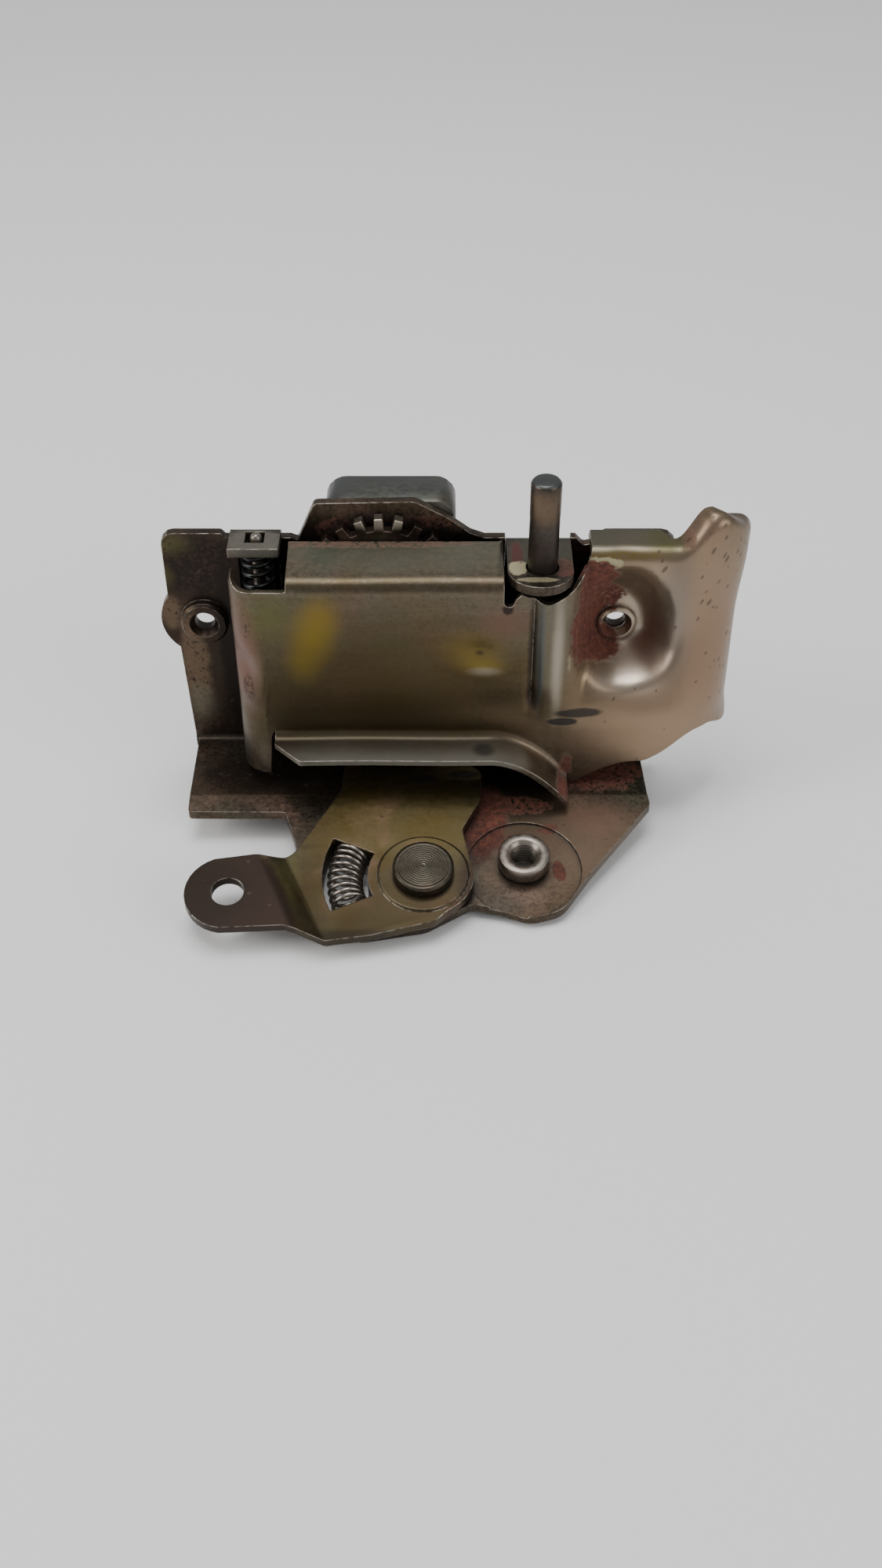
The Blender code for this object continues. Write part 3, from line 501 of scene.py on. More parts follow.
    @staticmethod
    def _pits(tree: Tree, given: dict[str, bpy.types.NodeSocket]) -> dict[str, object]:
        """A mask of small dark nicks, most of them on the slant."""
        slant = tree.node("ShaderNodeMapping", vector_type="TEXTURE")
        tree.feed(slant.inputs["Vector"], given["Place"])
        slant.inputs["Rotation"].default_value = (0.0, math.radians(32), 0.0)
        slant.inputs["Scale"].default_value = (1.0, 1.0, 2.3)
        cells = tree.node("ShaderNodeTexVoronoi", feature="F1")
        tree.feed(cells.inputs["Vector"], slant.outputs[0])
        cells.inputs["Scale"].default_value = 760.0
        luck = tree.node("ShaderNodeSeparateColor")
        tree.feed(luck.inputs[0], cells.outputs["Color"])
        chosen = tree.maths("LESS_THAN", luck.outputs[0], given["Share"])
        size = tree.maths("ADD", 0.12, tree.maths("MULTIPLY", luck.outputs[1], 0.22))
        wobble = tree.maths("MULTIPLY", tree.maths("SUBTRACT", tree.noise(given["Place"], 2600.0, 3.0), 0.5), 0.3)
        near = tree.maths("LESS_THAN", tree.maths("ADD", cells.outputs["Distance"], wobble), size)
        return {"Mask": tree.maths("MULTIPLY", near, chosen)}

    @staticmethod
    def _plating(tree: Tree, given: dict[str, bpy.types.NodeSocket]) -> dict[str, object]:
        """Plating whose yellow, rose and green bloom has worn unevenly off the grey."""
        bloom = tree.noise(given["Place"], 42.0, 3.0, 0.5, 0.6)
        warm = tree.blend(tree.span(bloom, 0.38, 0.64), given["Grey"], given["Warm"])
        rose = tree.blend(tree.span(tree.noise(given["Place"], 75.0, 2.0, 0.5, 0.4), 0.52, 0.72), warm,
                          (0.17, 0.105, 0.078, 1.0))
        green = tree.blend(tree.span(tree.noise(tree.stretched(given["Place"], (1.0, 1.0, 1.3)), 58.0, 2.0), 0.56,
                                     0.76), rose, (0.095, 0.105, 0.068, 1.0))
        colour = tree.blend(given["Tint"], given["Grey"], green)
        mottle = tree.noise(given["Place"], 900.0, 6.0, 0.7)
        streaks = tree.noise(tree.stretched(given["Place"], (0.12, 1.0, 1.0)), 420.0, 5.0, 0.65)
        shade = tree.maths("ADD", tree.span(mottle, 0.25, 0.75, 0.80, 1.06),
                           tree.span(streaks, 0.3, 0.7, -0.10, 0.12))
        return {"Colour": tree.blend(1.0, colour, shade, "MULTIPLY"),
                "Rough": tree.span(mottle, 0.3, 0.7, -0.07, 0.09)}

    @staticmethod
    def _rust(tree: Tree, given: dict[str, bpy.types.NodeSocket]) -> dict[str, object]:
        """Powdery rust, brick red with darker and more orange spots."""
        cloud = tree.noise(given["Place"], 950.0, 9.0, 0.78)
        colour = tree.ramp(cloud, [(0.30, (0.030, 0.012, 0.009)), (0.44, (0.075, 0.024, 0.016)),
                                   (0.56, (0.135, 0.042, 0.026)), (0.70, (0.21, 0.075, 0.043)),
                                   (0.80, (0.30, 0.14, 0.09))])
        return {"Colour": colour, "Height": tree.noise(given["Place"], 2600.0, 6.0, 0.75)}


class Stain(Enum):
    """What a patch on a surface is: its colour, how much metal shows and its roughness."""

    GOLD = ((0.19, 0.135, 0.026), 0.9, 0.36)
    # These two olive tones are used only as painted shade over the plating.
    SHADED_OLIVE = ((0.074, 0.052, 0.022), 0.92, 0.36)
    DEEP_SHADED_OLIVE = ((0.054, 0.038, 0.017), 0.9, 0.38)
    YELLOW_GREEN = ((0.105, 0.100, 0.036), 0.8, 0.42)
    ROSE = ((0.165, 0.090, 0.068), 0.85, 0.42)
    BEIGE = ((0.32, 0.225, 0.150), 0.92, 0.36)
    GREEN_GREY = ((0.130, 0.128, 0.092), 0.92, 0.36)
    BLUE_GREY = ((0.105, 0.112, 0.110), 0.92, 0.36)
    # A bright bare-metal colour, used only for painted highlights.
    PAINTED_HIGHLIGHT = ((0.46, 0.40, 0.33), 1.0, 0.30)
    TAN = ((0.135, 0.092, 0.060), 0.85, 0.40)
    DULL_ZINC = ((0.175, 0.165, 0.140), 0.35, 0.48)
    RUST = ((0.12, 0.04, 0.025), 0.0, 0.92)
    BLACK = ((0.020, 0.018, 0.017), 0.6, 0.42)
    GREASE = ((0.016, 0.011, 0.008), 0.7, 0.42)
    BROWN = ((0.034, 0.022, 0.017), 0.85, 0.44)
    CREAM = ((0.36, 0.32, 0.19), 0.0, 0.62)
    RED_PAINT = ((0.075, 0.012, 0.011), 0.2, 0.45)


@dataclass(frozen=True)
class Patch:
    """One stain, rubbed place, painted highlight or patch of painted shade, as an ellipsoid in latch millimetres.

    An edge of 1 fades from the middle outwards, and a density under 1 breaks the patch into specks.
    """

    stain: Stain
    centre: Triple
    radii: Triple
    ragged: float = 0.8
    edge: float = 0.2
    strength: float = 1.0
    dense: float = 1.0


FILM = (0.016, 0.011, 0.008, 1.0)
NICK = (0.050, 0.028, 0.018, 1.0)
# Near-black colour of the painted shade in corners and gaps, with some soiling.
DIRT_AND_SHADE = (0.012, 0.008, 0.006, 1.0)
ROUNDED_EDGE = 0.00035  # metres of corner that the wear rounds
RELIEF = 0.0001  # metres of height in the bump


@dataclass(frozen=True)
class Scatter:
    """A region where slanting nicks lie closer together than elsewhere."""

    centre: Triple
    radii: Triple
    share: float


@dataclass(frozen=True)
class Finish:
    """A metal surface: its plating or bare steel, grain, wear, stains, and painted shade with soiling in its corners.
    """

    name: str
    grey: Triple = (0.15, 0.145, 0.13)
    warm: Triple = (0.14, 0.11, 0.06)
    tint: float = 0.5
    metal: float = 0.92
    rough: float = 0.38
    grain: float = 0.5
    wear: float = 0.8
    shade_and_grime: float = 0.6
    # Amount and reach of the painted shade in corners and gaps, with some soiling.
    reach: float = 0.0030
    pits: float = 0.04
    rust: float = 0.0
    mottle: float = 0.0
    patches: tuple[Patch, ...] = ()
    scatters: tuple[Scatter, ...] = ()
    bright: Triple = (0.50, 0.46, 0.39)

    def build(self, effects: Effects) -> bpy.types.Material:
        """Makes the material.

        Args:
            effects: the shared node groups.

        Returns:
            The material, ready for a piece.
        """
        material = bpy.data.materials.new(self.name)
        material.use_nodes = True
        material.node_tree.nodes.clear()
        tree = Tree(material.node_tree)
        place = tree.node("ShaderNodeTexCoord").outputs["Object"]
        clouds = tree.use(effects.clouds, Place=place)
        grain = tree.use(effects.grain, Place=place)
        plating = tree.use(effects.plating, Place=place, Grey=(*self.grey, 1.0), Warm=(*self.warm, 1.0),
                           Tint=self.tint)
        rust = tree.use(effects.rust, Place=place)
        colour = plating.outputs["Colour"]
        rough = tree.maths("ADD", self.rough, plating.outputs["Rough"])
        rough = tree.maths("ADD", rough, tree.maths("MULTIPLY", grain.outputs["Shade"], 0.06 * self.grain))
        metal: object = self.metal
        if self.mottle > 0:
            film = tree.span(clouds.outputs["Fine"], 0.37 + 0.14 * self.mottle, 0.46 + 0.14 * self.mottle)
            film = tree.maths("MULTIPLY", tree.maths("SUBTRACT", 1.0, film), self.mottle)
            colour = tree.blend(film, colour, FILM)
            rough = self._towards(tree, rough, 0.33, film)
        rusty: object = 0.0
        for patch in self.patches:
            mask = self._mask(tree, effects, place, clouds, patch)
            tone, shine, dull = patch.stain.value
            if patch.stain is Stain.RUST:
                rusty = tree.maths("MAXIMUM", rusty, mask)
                continue
            colour = tree.blend(mask, colour, (*tone, 1.0))
            metal = self._towards(tree, metal, shine, mask)
            rough = self._towards(tree, rough, dull, mask)
        if self.rust > 0:
            spots = tree.span(clouds.outputs["Broad"], 0.68 - 0.2 * self.rust, 0.76 - 0.2 * self.rust)
            rusty = tree.maths("MAXIMUM", rusty, tree.maths("MULTIPLY", spots, min(1.0, 2.0 * self.rust)))
        colour = tree.blend(rusty, colour, rust.outputs["Colour"])
        metal = self._towards(tree, metal, 0.0, rusty)
        rough = self._towards(tree, rough, 0.85, rusty)
        share: object = self.pits
        for scatter in self.scatters:
            near = tree.use(effects.patch, Place=place, Cloud=clouds.outputs["Broad"], Centre=world(*scatter.centre),
                            Radii=Vector(scatter.radii) * MM, Ragged=0.6, Edge=0.5).outputs["Mask"]
            share = tree.maths("ADD", share, tree.maths("MULTIPLY", near, scatter.share))
        nicks = tree.use(effects.pits, Place=place, Share=share).outputs["Mask"]
        colour = tree.blend(tree.maths("MULTIPLY", nicks, 0.62), colour, NICK)
        metal = self._towards(tree, metal, 0.3, tree.maths("MULTIPLY", nicks, 0.7))
        wear = tree.use(effects.wear, Place=place, Width=ROUNDED_EDGE, Amount=self.wear)
        keep = tree.maths("SUBTRACT", 1.0, tree.maths("MULTIPLY", rusty, 0.7))
        rubbed = tree.maths("MULTIPLY", wear.outputs["Mask"], keep)
        colour = tree.blend(rubbed, colour, (*self.bright, 1.0))
        metal = self._towards(tree, metal, 1.0, rubbed)
        rough = self._towards(tree, rough, 0.30, rubbed)
        # Painted shade: corners and gaps darken towards near-black, with some soiling.
        dirt_and_shade = tree.use(effects.shade_and_grime, Place=place, Reach=self.reach, Amount=self.shade_and_grime).outputs["Mask"]
        colour = tree.blend(dirt_and_shade, colour, DIRT_AND_SHADE)
        metal = self._towards(tree, metal, 0.15, dirt_and_shade)
        rough = self._towards(tree, rough, 0.55, dirt_and_shade)
        height = tree.maths("ADD", tree.maths("MULTIPLY", grain.outputs["Height"], 0.35 * self.grain),
                            tree.maths("MULTIPLY", rusty, tree.maths("MULTIPLY", rust.outputs["Height"], 0.7)))
        height = tree.maths("SUBTRACT", height, tree.maths("MULTIPLY", nicks, 0.6))
        bump = tree.node("ShaderNodeBump")
        bump.inputs["Strength"].default_value = 0.5
        bump.inputs["Distance"].default_value = RELIEF
        tree.feed(bump.inputs["Height"], height)
        tree.feed(bump.inputs["Normal"], wear.outputs["Normal"])
        shader = tree.node("ShaderNodeBsdfPrincipled")
        shader.inputs["Specular IOR Level"].default_value = 0.4
        for key, value in (("Base Color", colour), ("Metallic", metal), ("Roughness", rough),
                           ("Normal", bump.outputs[0])):
            tree.feed(shader.inputs[key], value)
        tree.feed(tree.node("ShaderNodeOutputMaterial").inputs["Surface"], shader.outputs[0])
        return material

    @staticmethod
    def _mask(tree: Tree, effects: Effects, place: bpy.types.NodeSocket, clouds: bpy.types.Node,
              patch: Patch) -> bpy.types.NodeSocket:
        """Where a patch lies, from 0 to 1."""
        mask = tree.use(effects.patch, Place=place, Cloud=clouds.outputs["Broad"], Centre=world(*patch.centre),
                        Radii=Vector(patch.radii) * MM, Ragged=patch.ragged, Edge=patch.edge).outputs["Mask"]
        if patch.dense < 1:
            specks = tree.span(clouds.outputs["Fine"], 0.66 - 0.36 * patch.dense, 0.72 - 0.36 * patch.dense)
            mask = tree.maths("MULTIPLY", mask, specks)
        return tree.maths("MULTIPLY", mask, patch.strength)

    @staticmethod
    def _towards(tree: Tree, value: object, goal: float, mask: object) -> bpy.types.NodeSocket:
        """A number that moves to goal where the mask is 1."""
        made = tree.node("ShaderNodeMix", data_type="FLOAT")
        tree.feed(made.inputs[0], mask)
        tree.feed(made.inputs[2], value)
        tree.feed(made.inputs[3], goal)
        return made.outputs[0]


# ---------------------------------------------------------------- finishes of this latch

COVER_FINISH = Finish(
    "worn yellow zinc cover", grey=(0.138, 0.118, 0.088), warm=(0.125, 0.090, 0.046), tint=0.8, rough=0.33, grain=0.8,
    wear=0.75, shade_and_grime=0.40, reach=0.0022, pits=0.008, mottle=0.22, patches=(
        Patch(Stain.DULL_ZINC, (-4.0, -21.5, 13.0), (38.0, 5.5, 3.0), 0.4, 0.3, 0.80),
        Patch(Stain.GREEN_GREY, (-8.0, -8.0, 54.0), (36.0, 7.0, 2.6), 0.4, 0.4, 0.65),
        # The two beige patches lighten the right of the cover: painted light where that panel turns towards the
        # light.
        Patch(Stain.BEIGE, (50.0, -10.0, 32.0), (22.0, 16.0, 30.0), 0.35, 0.6, 0.85),
        Patch(Stain.BEIGE, (36.0, -16.0, 15.0), (18.0, 8.0, 9.0), 0.3, 0.8, 0.55),
        # The olive and darker olive patches darken the box face, most at its lower part and lower left corner:
        # painted shade and painted dark reflection.
        Patch(Stain.SHADED_OLIVE, (-8.0, -16.5, 30.0), (31.0, 5.0, 15.0), 0.35, 0.75, 0.80),
        Patch(Stain.DEEP_SHADED_OLIVE, (-10.0, -16.5, 19.0), (34.0, 5.0, 8.0), 0.30, 0.9, 0.75),
        Patch(Stain.DEEP_SHADED_OLIVE, (-33.0, -16.0, 20.0), (8.0, 7.0, 10.0), 0.4, 0.9, 0.55),
        Patch(Stain.YELLOW_GREEN, (-33.8, -16.0, 43.5), (3.4, 4.0, 4.6), 0.4, 0.95, 0.75),
        # The three gold patches down the left of the face form a painted highlight.
        Patch(Stain.GOLD, (-24.0, -16.3, 43.4), (3.0, 4.0, 4.0), 0.7, 1.0, 0.80),
        Patch(Stain.GOLD, (-25.6, -16.3, 39.0), (3.4, 4.0, 4.6), 0.7, 1.0, 0.95),
        Patch(Stain.GOLD, (-27.8, -16.3, 33.0), (2.8, 4.0, 4.0), 0.7, 1.0, 0.70),
        # A dark band along the top bend dims its highlight: painted shade.
        Patch(Stain.DEEP_SHADED_OLIVE, (-8.0, -15.2, 51.0), (30.0, 2.2, 1.4), 1.4, 0.5, 0.55, 0.7),
        # Round the dent left of the rod: the gold and bright patches are a painted glow on the bump below it, and the
        # small dark patch is a painted shadow in the dent.
        Patch(Stain.GOLD, (6.4, -16.5, 35.5), (5.0, 4.0, 3.4), 0.4, 0.95, 0.45),
        Patch(Stain.GOLD, (8.6, -16.5, 31.4), (3.6, 4.0, 2.0), 0.4, 0.95, 0.65),
        Patch(Stain.PAINTED_HIGHLIGHT, (8.8, -16.5, 30.4), (2.6, 3.0, 0.9), 0.3, 0.95, 0.50),
        Patch(Stain.GREASE, (7.8, -16.5, 34.9), (0.9, 2.0, 0.6), 0.6, 0.60, 0.60),
        Patch(Stain.ROSE, (-40.6, -12.5, 33.0), (3.6, 6.0, 12.0), 0.5, 0.60, 0.90),
        Patch(Stain.BROWN, (-39.4, -13.5, 24.5), (1.6, 3.0, 3.0), 1.2, 0.30, 0.70, 0.6),
        Patch(Stain.BROWN, (-38.8, -13.5, 42.0), (1.2, 3.0, 5.0), 1.2, 0.30, 0.60, 0.45),
        Patch(Stain.ROSE, (12.8, -16.5, 42.5), (4.5, 4.0, 3.6), 0.5, 0.80, 0.55),
        Patch(Stain.GREEN_GREY, (22.6, -16.0, 36.0), (3.4, 5.0, 14.0), 0.3, 0.5, 0.60),
        # The thin bright strip down the bulge is a painted highlight.
        Patch(Stain.PAINTED_HIGHLIGHT, (23.6, -17.0, 34.0), (1.1, 3.0, 13.0), 0.35, 0.8, 0.55),
        # Bright metal right of the screw hole is a painted highlight, and the blue-grey band at the dish's right edge
        # is painted shade.
        Patch(Stain.PAINTED_HIGHLIGHT, (42.5, -6.0, 34.0), (6.5, 7.0, 12.0), 0.3, 0.8, 0.80),
        Patch(Stain.BLUE_GREY, (47.5, -9.0, 42.0), (3.0, 6.0, 14.0), 0.4, 0.8, 0.45),
        Patch(Stain.ROSE, (55.0, -8.0, 30.0), (7.0, 9.0, 16.0), 0.5, 0.8, 0.28),
        # Bright metal on the dish's lower wall, under the hole, is a painted highlight.
        Patch(Stain.PAINTED_HIGHLIGHT, (37.6, -9.0, 24.6), (6.0, 5.0, 2.6), 0.4, 0.75, 0.75),
        Patch(Stain.GREEN_GREY, (36.0, -3.0, 54.2), (11.0, 9.0, 1.4), 0.3, 0.4, 0.65),
        Patch(Stain.YELLOW_GREEN, (45.0, -4.0, 55.0), (4.0, 7.0, 2.2), 0.5, 0.7, 0.75),
        Patch(Stain.RUST, (49.2, -6.0, 55.6), (1.2, 5.0, 1.6), 0.9, 0.3, 0.5, 0.8),
        Patch(Stain.GOLD, (36.0, -8.6, 53.0), (8.0, 1.6, 0.9), 0.8, 0.5, 0.60, 0.7),
        Patch(Stain.CREAM, (31.6, -8.5, 51.2), (4.4, 3.5, 1.7), 1.9, 0.08, 0.85),
        Patch(Stain.RUST, (31.2, -7.0, 46.4), (4.4, 7.0, 5.6), 1.5, 0.12),
        Patch(Stain.RUST, (29.6, -7.5, 37.0), (4.6, 9.5, 9.0), 1.1, 0.14),
        Patch(Stain.RUST, (33.0, -5.0, 29.6), (5.2, 6.0, 3.4), 1.2, 0.12),
        Patch(Stain.RUST, (34.0, -4.0, 40.0), (4.0, 6.0, 4.0), 1.6, 0.14, 1.0, 0.7),
        Patch(Stain.CREAM, (29.8, -10.0, 45.0), (0.9, 2.0, 0.6), 1.2, 0.1, 0.8),
        Patch(Stain.CREAM, (33.4, -6.0, 41.0), (1.8, 3.0, 0.5), 1.6, 0.1, 0.5),
        Patch(Stain.CREAM, (26.0, -13.0, 31.0), (0.7, 2.0, 2.6), 1.6, 0.1, 0.4),
        Patch(Stain.RUST, (26.6, -21.0, 5.8), (2.2, 6.5, 4.4), 1.2, 0.16, 0.95),
        Patch(Stain.BLACK, (28.6, -16.2, 19.5), (5.0, 3.0, 1.1), 0.35, 0.22, 0.85),
        Patch(Stain.BLACK, (25.2, -16.2, 17.4), (3.2, 3.0, 0.9), 0.30, 0.18, 0.92),
        Patch(Stain.BLACK, (8.9, -20.5, 13.4), (2.0, 2.0, 1.2), 0.5, 0.5, 0.65),
        # The dark line down the groove left of the bulge and the dark spot at its lower end are painted shadow.
        Patch(Stain.GREASE, (18.4, -16.6, 35.0), (0.8, 1.6, 14.0), 0.5, 0.6, 0.75),
        Patch(Stain.BLUE_GREY, (20.0, -16.9, 34.0), (0.8, 1.4, 14.0), 0.4, 0.5, 0.8),
        Patch(Stain.GREASE, (18.7, -16.4, 24.0), (1.1, 1.8, 3.6), 0.6, 0.4, 0.75),
        Patch(Stain.GREASE, (13.2, -16.5, 45.6), (1.2, 2.0, 1.2), 1.2, 0.3, 0.85),
        Patch(Stain.BROWN, (-41.0, -8.0, 6.0), (3.0, 9.0, 6.0), 0.9, 0.5, 0.7),
        Patch(Stain.RUST, (-15.0, -4.0, 53.4), (22.0, 1.3, 1.5), 1.6, 0.12, 0.6, 0.6),
    ), scatters=(
        Scatter((54.0, -8.0, 48.0), (10.0, 10.0, 15.0), 0.62),
        Scatter((58.0, -5.0, 24.0), (5.5, 10.0, 14.0), 0.35),
        Scatter((55.0, -6.0, 11.0), (7.0, 10.0, 3.0), 0.40),
        Scatter((-39.0, -13.0, 40.0), (3.0, 5.0, 9.0), 0.40),
        Scatter((44.0, -9.0, 21.0), (10.0, 8.0, 5.0), 0.14),
    ))
FRAME_FINISH = Finish(
    "greasy zinc frame", grey=(0.078, 0.064, 0.049), warm=(0.086, 0.057, 0.032), tint=0.75, rough=0.40, grain=0.35,
    wear=0.95, shade_and_grime=0.80, reach=0.0045, pits=0.08, mottle=0.45, bright=(0.40, 0.36, 0.30), patches=(
        Patch(Stain.BROWN, (-50.0, 0.0, 30.0), (14.0, 6.0, 28.0), 0.6, 0.4, 0.85),
        Patch(Stain.TAN, (-52.5, -1.0, 21.0), (3.0, 3.0, 14.0), 1.1, 0.3, 0.85, 0.75),
        Patch(Stain.TAN, (-56.5, -1.0, 34.0), (2.2, 3.0, 4.5), 1.0, 0.3, 0.75, 0.8),
        Patch(Stain.GREEN_GREY, (-52.0, -1.0, 10.0), (3.0, 3.0, 5.0), 0.8, 0.5, 0.45),
        Patch(Stain.GREASE, (-50.0, -0.5, 45.0), (8.5, 4.0, 7.5), 1.0, 0.30, 0.95, 0.62),
        Patch(Stain.GREASE, (-44.5, -0.5, 24.0), (2.6, 4.0, 22.0), 0.9, 0.35, 0.95),
        Patch(Stain.YELLOW_GREEN, (-56.0, 0.0, 50.6), (4.2, 4.0, 2.4), 1.2, 0.7, 0.50, 0.75),
        Patch(Stain.YELLOW_GREEN, (-56.8, 0.0, 43.0), (1.5, 4.0, 2.6), 1.2, 0.7, 0.35, 0.75),
        # The near-black patch on the plate behind the pawl spring is painted shadow.
        Patch(Stain.GREASE, (-37.0, 0.5, 38.0), (5.5, 3.0, 16.0), 0.5, 0.2, 0.95),
        Patch(Stain.DULL_ZINC, (-37.0, -4.5, 53.5), (7.0, 5.0, 3.2), 0.5, 0.3, 0.60),
        Patch(Stain.TAN, (-48.0, -15.0, 0.0), (12.0, 6.0, 4.0), 0.9, 0.5, 0.35),
        Patch(Stain.GREASE, (-40.0, -13.0, 0.0), (12.0, 6.0, 4.0), 1.2, 0.3, 0.85, 0.75),
        Patch(Stain.GREASE, (-14.0, -6.0, 0.0), (30.0, 13.0, 10.0), 0.5, 0.3, 0.95),
        Patch(Stain.GREASE, (16.0, -8.0, -1.0), (22.0, 11.0, 5.0), 0.8, 0.3, 0.92),
        Patch(Stain.TAN, (24.0, -31.0, -2.0), (18.0, 13.0, 5.0), 0.5, 0.5, 0.70),
        Patch(Stain.ROSE, (33.0, -26.0, -1.5), (7.0, 4.0, 3.0), 0.6, 0.7, 0.35),
        Patch(Stain.RUST, (8.4, -26.5, -1.5), (5.6, 10.0, 4.0), 1.3, 0.25, 1.0, 0.80),
        Patch(Stain.GREASE, (7.0, -29.5, -2.0), (4.0, 9.5, 3.0), 1.3, 0.30, 0.85, 0.72),
        Patch(Stain.RUST, (15.5, -22.5, -0.8), (8.5, 2.2, 3.0), 1.7, 0.15, 0.9, 0.62),
        Patch(Stain.RUST, (13.0, -31.0, -2.2), (5.5, 2.2, 3.0), 1.8, 0.15, 0.9, 0.55),
        Patch(Stain.RUST, (24.4, -39.0, -3.4), (1.5, 2.6, 2.0), 1.4, 0.10, 0.9),
        Patch(Stain.RUST, (22.6, -28.4, -1.7), (2.4, 1.1, 2.0), 1.9, 0.08, 0.8),
        Patch(Stain.RUST, (33.0, -12.0, 0.0), (11.0, 6.0, 2.5), 1.4, 0.20, 0.9, 0.72),
        Patch(Stain.BROWN, (-11.0, -0.6, 52.6), (24.0, 2.0, 4.6), 0.5, 0.16, 0.95),
        Patch(Stain.GREASE, (-11.0, -0.6, 51.4), (21.0, 2.0, 4.6), 0.8, 0.25, 0.90),
        Patch(Stain.RUST, (-21.0, -0.6, 54.2), (4.0, 2.0, 2.6), 1.5, 0.15, 0.6, 0.66),
        Patch(Stain.RUST, (-6.0, -0.6, 55.6), (9.0, 2.0, 1.6), 1.5, 0.15, 0.5, 0.60),
        Patch(Stain.TAN, (4.0, -0.6, 55.0), (3.4, 2.0, 1.6), 0.9, 0.4, 0.6, 0.7),
        Patch(Stain.GREEN_GREY, (20.0, -6.0, 52.2), (8.0, 6.5, 1.0), 0.5, 0.3, 0.55),
        Patch(Stain.RED_PAINT, (15.1, -6.0, 52.2), (1.3, 4.6, 0.8), 1.4, 0.25, 0.85),
        Patch(Stain.CREAM, (15.2, -11.0, 52.2), (1.9, 2.6, 0.8), 1.4, 0.12, 0.85),
        Patch(Stain.CREAM, (19.0, -15.2, 52.2), (4.2, 0.9, 0.8), 1.5, 0.12, 0.6),
        Patch(Stain.RUST, (24.2, -11.0, 52.0), (1.8, 3.2, 1.2), 1.4, 0.15, 0.7, 0.8),
    ))
LEVER_FINISH = Finish(
    "olive zinc lever", grey=(0.078, 0.066, 0.043), warm=(0.076, 0.054, 0.024), tint=0.8, rough=0.40, grain=0.35,
    wear=0.95, shade_and_grime=0.35, reach=0.0016, pits=0.06, mottle=0.15, patches=(
        Patch(Stain.GOLD, (-4.0, -28.0, 2.0), (20.0, 13.0, 6.0), 0.4, 0.7, 0.30),
        Patch(Stain.GOLD, (-16.0, -24.5, 2.5), (4.0, 4.0, 3.0), 0.5, 0.9, 0.15),
        # Darker olive over the lower part of the lever is painted shade.
        Patch(Stain.DEEP_SHADED_OLIVE, (-14.0, -53.0, -2.0), (30.0, 12.0, 5.0), 0.5, 0.6, 0.75),
        Patch(Stain.YELLOW_GREEN, (-31.4, -47.0, 0.8), (2.4, 9.0, 3.0), 0.3, 0.7, 0.50),
        Patch(Stain.BROWN, (-67.5, -65.6, 0.0), (40.0, 40.0, 40.0), 0.05, 0.025, 0.97),
        Patch(Stain.GREASE, (-50.0, -50.0, 0.0), (11.0, 9.0, 6.0), 0.8, 0.5, 0.55),
        Patch(Stain.BLACK, (-4.0, -18.6, 3.7), (3.6, 1.2, 1.2), 0.6, 0.30, 0.9),
        Patch(Stain.BLACK, (4.8, -17.4, 4.0), (3.4, 1.1, 1.2), 0.6, 0.30, 0.85),
        Patch(Stain.BROWN, (6.0, -45.0, -1.0), (2.6, 8.0, 3.0), 0.9, 0.5, 0.7),
        Patch(Stain.GREASE, (-14.0, -58.5, -3.5), (16.0, 2.0, 3.0), 1.0, 0.4, 0.6),
        Patch(Stain.RUST, (4.0, -52.0, -3.0), (4.0, 3.0, 2.0), 1.5, 0.2, 0.6, 0.5),
    ))
GUARD_FINISH = Finish("satin grey guard", grey=(0.115, 0.118, 0.108), warm=(0.11, 0.112, 0.082), tint=0.45,
                      rough=0.40, grain=0.25, wear=0.6, shade_and_grime=0.6, pits=0.04, patches=(
                          Patch(Stain.BLUE_GREY, (-22.0, 8.0, 60.0), (5.0, 9.0, 9.0), 0.4, 0.7, 0.6),
                          Patch(Stain.TAN, (0.0, 6.0, 62.5), (9.0, 6.0, 2.0), 0.5, 0.8, 0.3),
                      ))
BRIGHT_FINISH = Finish("bright steel", grey=(0.26, 0.23, 0.20), warm=(0.22, 0.18, 0.14), tint=0.4, rough=0.34,
                       grain=0.1, wear=0.7, shade_and_grime=0.8, reach=0.0018, pits=0.03, mottle=0.15)
WHEEL_FINISH = Finish("greased ratchet wheel", grey=(0.030, 0.024, 0.019), warm=(0.032, 0.020, 0.014), tint=0.5,
                      rough=0.36, grain=0.1, wear=0.25, shade_and_grime=0.6, reach=0.002, pits=0.02, patches=(
                          # The bright tooth tips are a painted highlight.
                          Patch(Stain.PAINTED_HIGHLIGHT, (-12.0, -3.6, 57.6), (6.6, 3.4, 1.9), 0.3, 0.35, 0.85),
                      ))
RIVET_FINISH = Finish("dull rivet steel", grey=(0.058, 0.050, 0.037), warm=(0.056, 0.044, 0.028), tint=0.4,
                      rough=0.38, grain=0.1, wear=0.8, shade_and_grime=0.5, reach=0.0016, pits=0.04, mottle=0.2)
DARK_FINISH = Finish("dark greased steel", grey=(0.060, 0.054, 0.048), warm=(0.055, 0.040, 0.026), tint=0.5,
                     metal=0.85, rough=0.36, grain=0.2, wear=0.7, shade_and_grime=0.8, pits=0.06, rust=0.05,
                     bright=(0.32, 0.30, 0.26))
SPRING_FINISH = Finish("drawn spring wire", grey=(0.44, 0.41, 0.37), warm=(0.32, 0.26, 0.19), tint=0.4, metal=1.0,
                       rough=0.25, grain=0.1, wear=0.2, shade_and_grime=0.9, reach=0.0016, pits=0.02)
PAWL_SPRING_FINISH = Finish("oiled spring wire", grey=(0.050, 0.056, 0.064), warm=(0.04, 0.036, 0.03), tint=0.4,
                            rough=0.24, grain=0.1, wear=0.2, shade_and_grime=0.9, reach=0.003, pits=0.02)
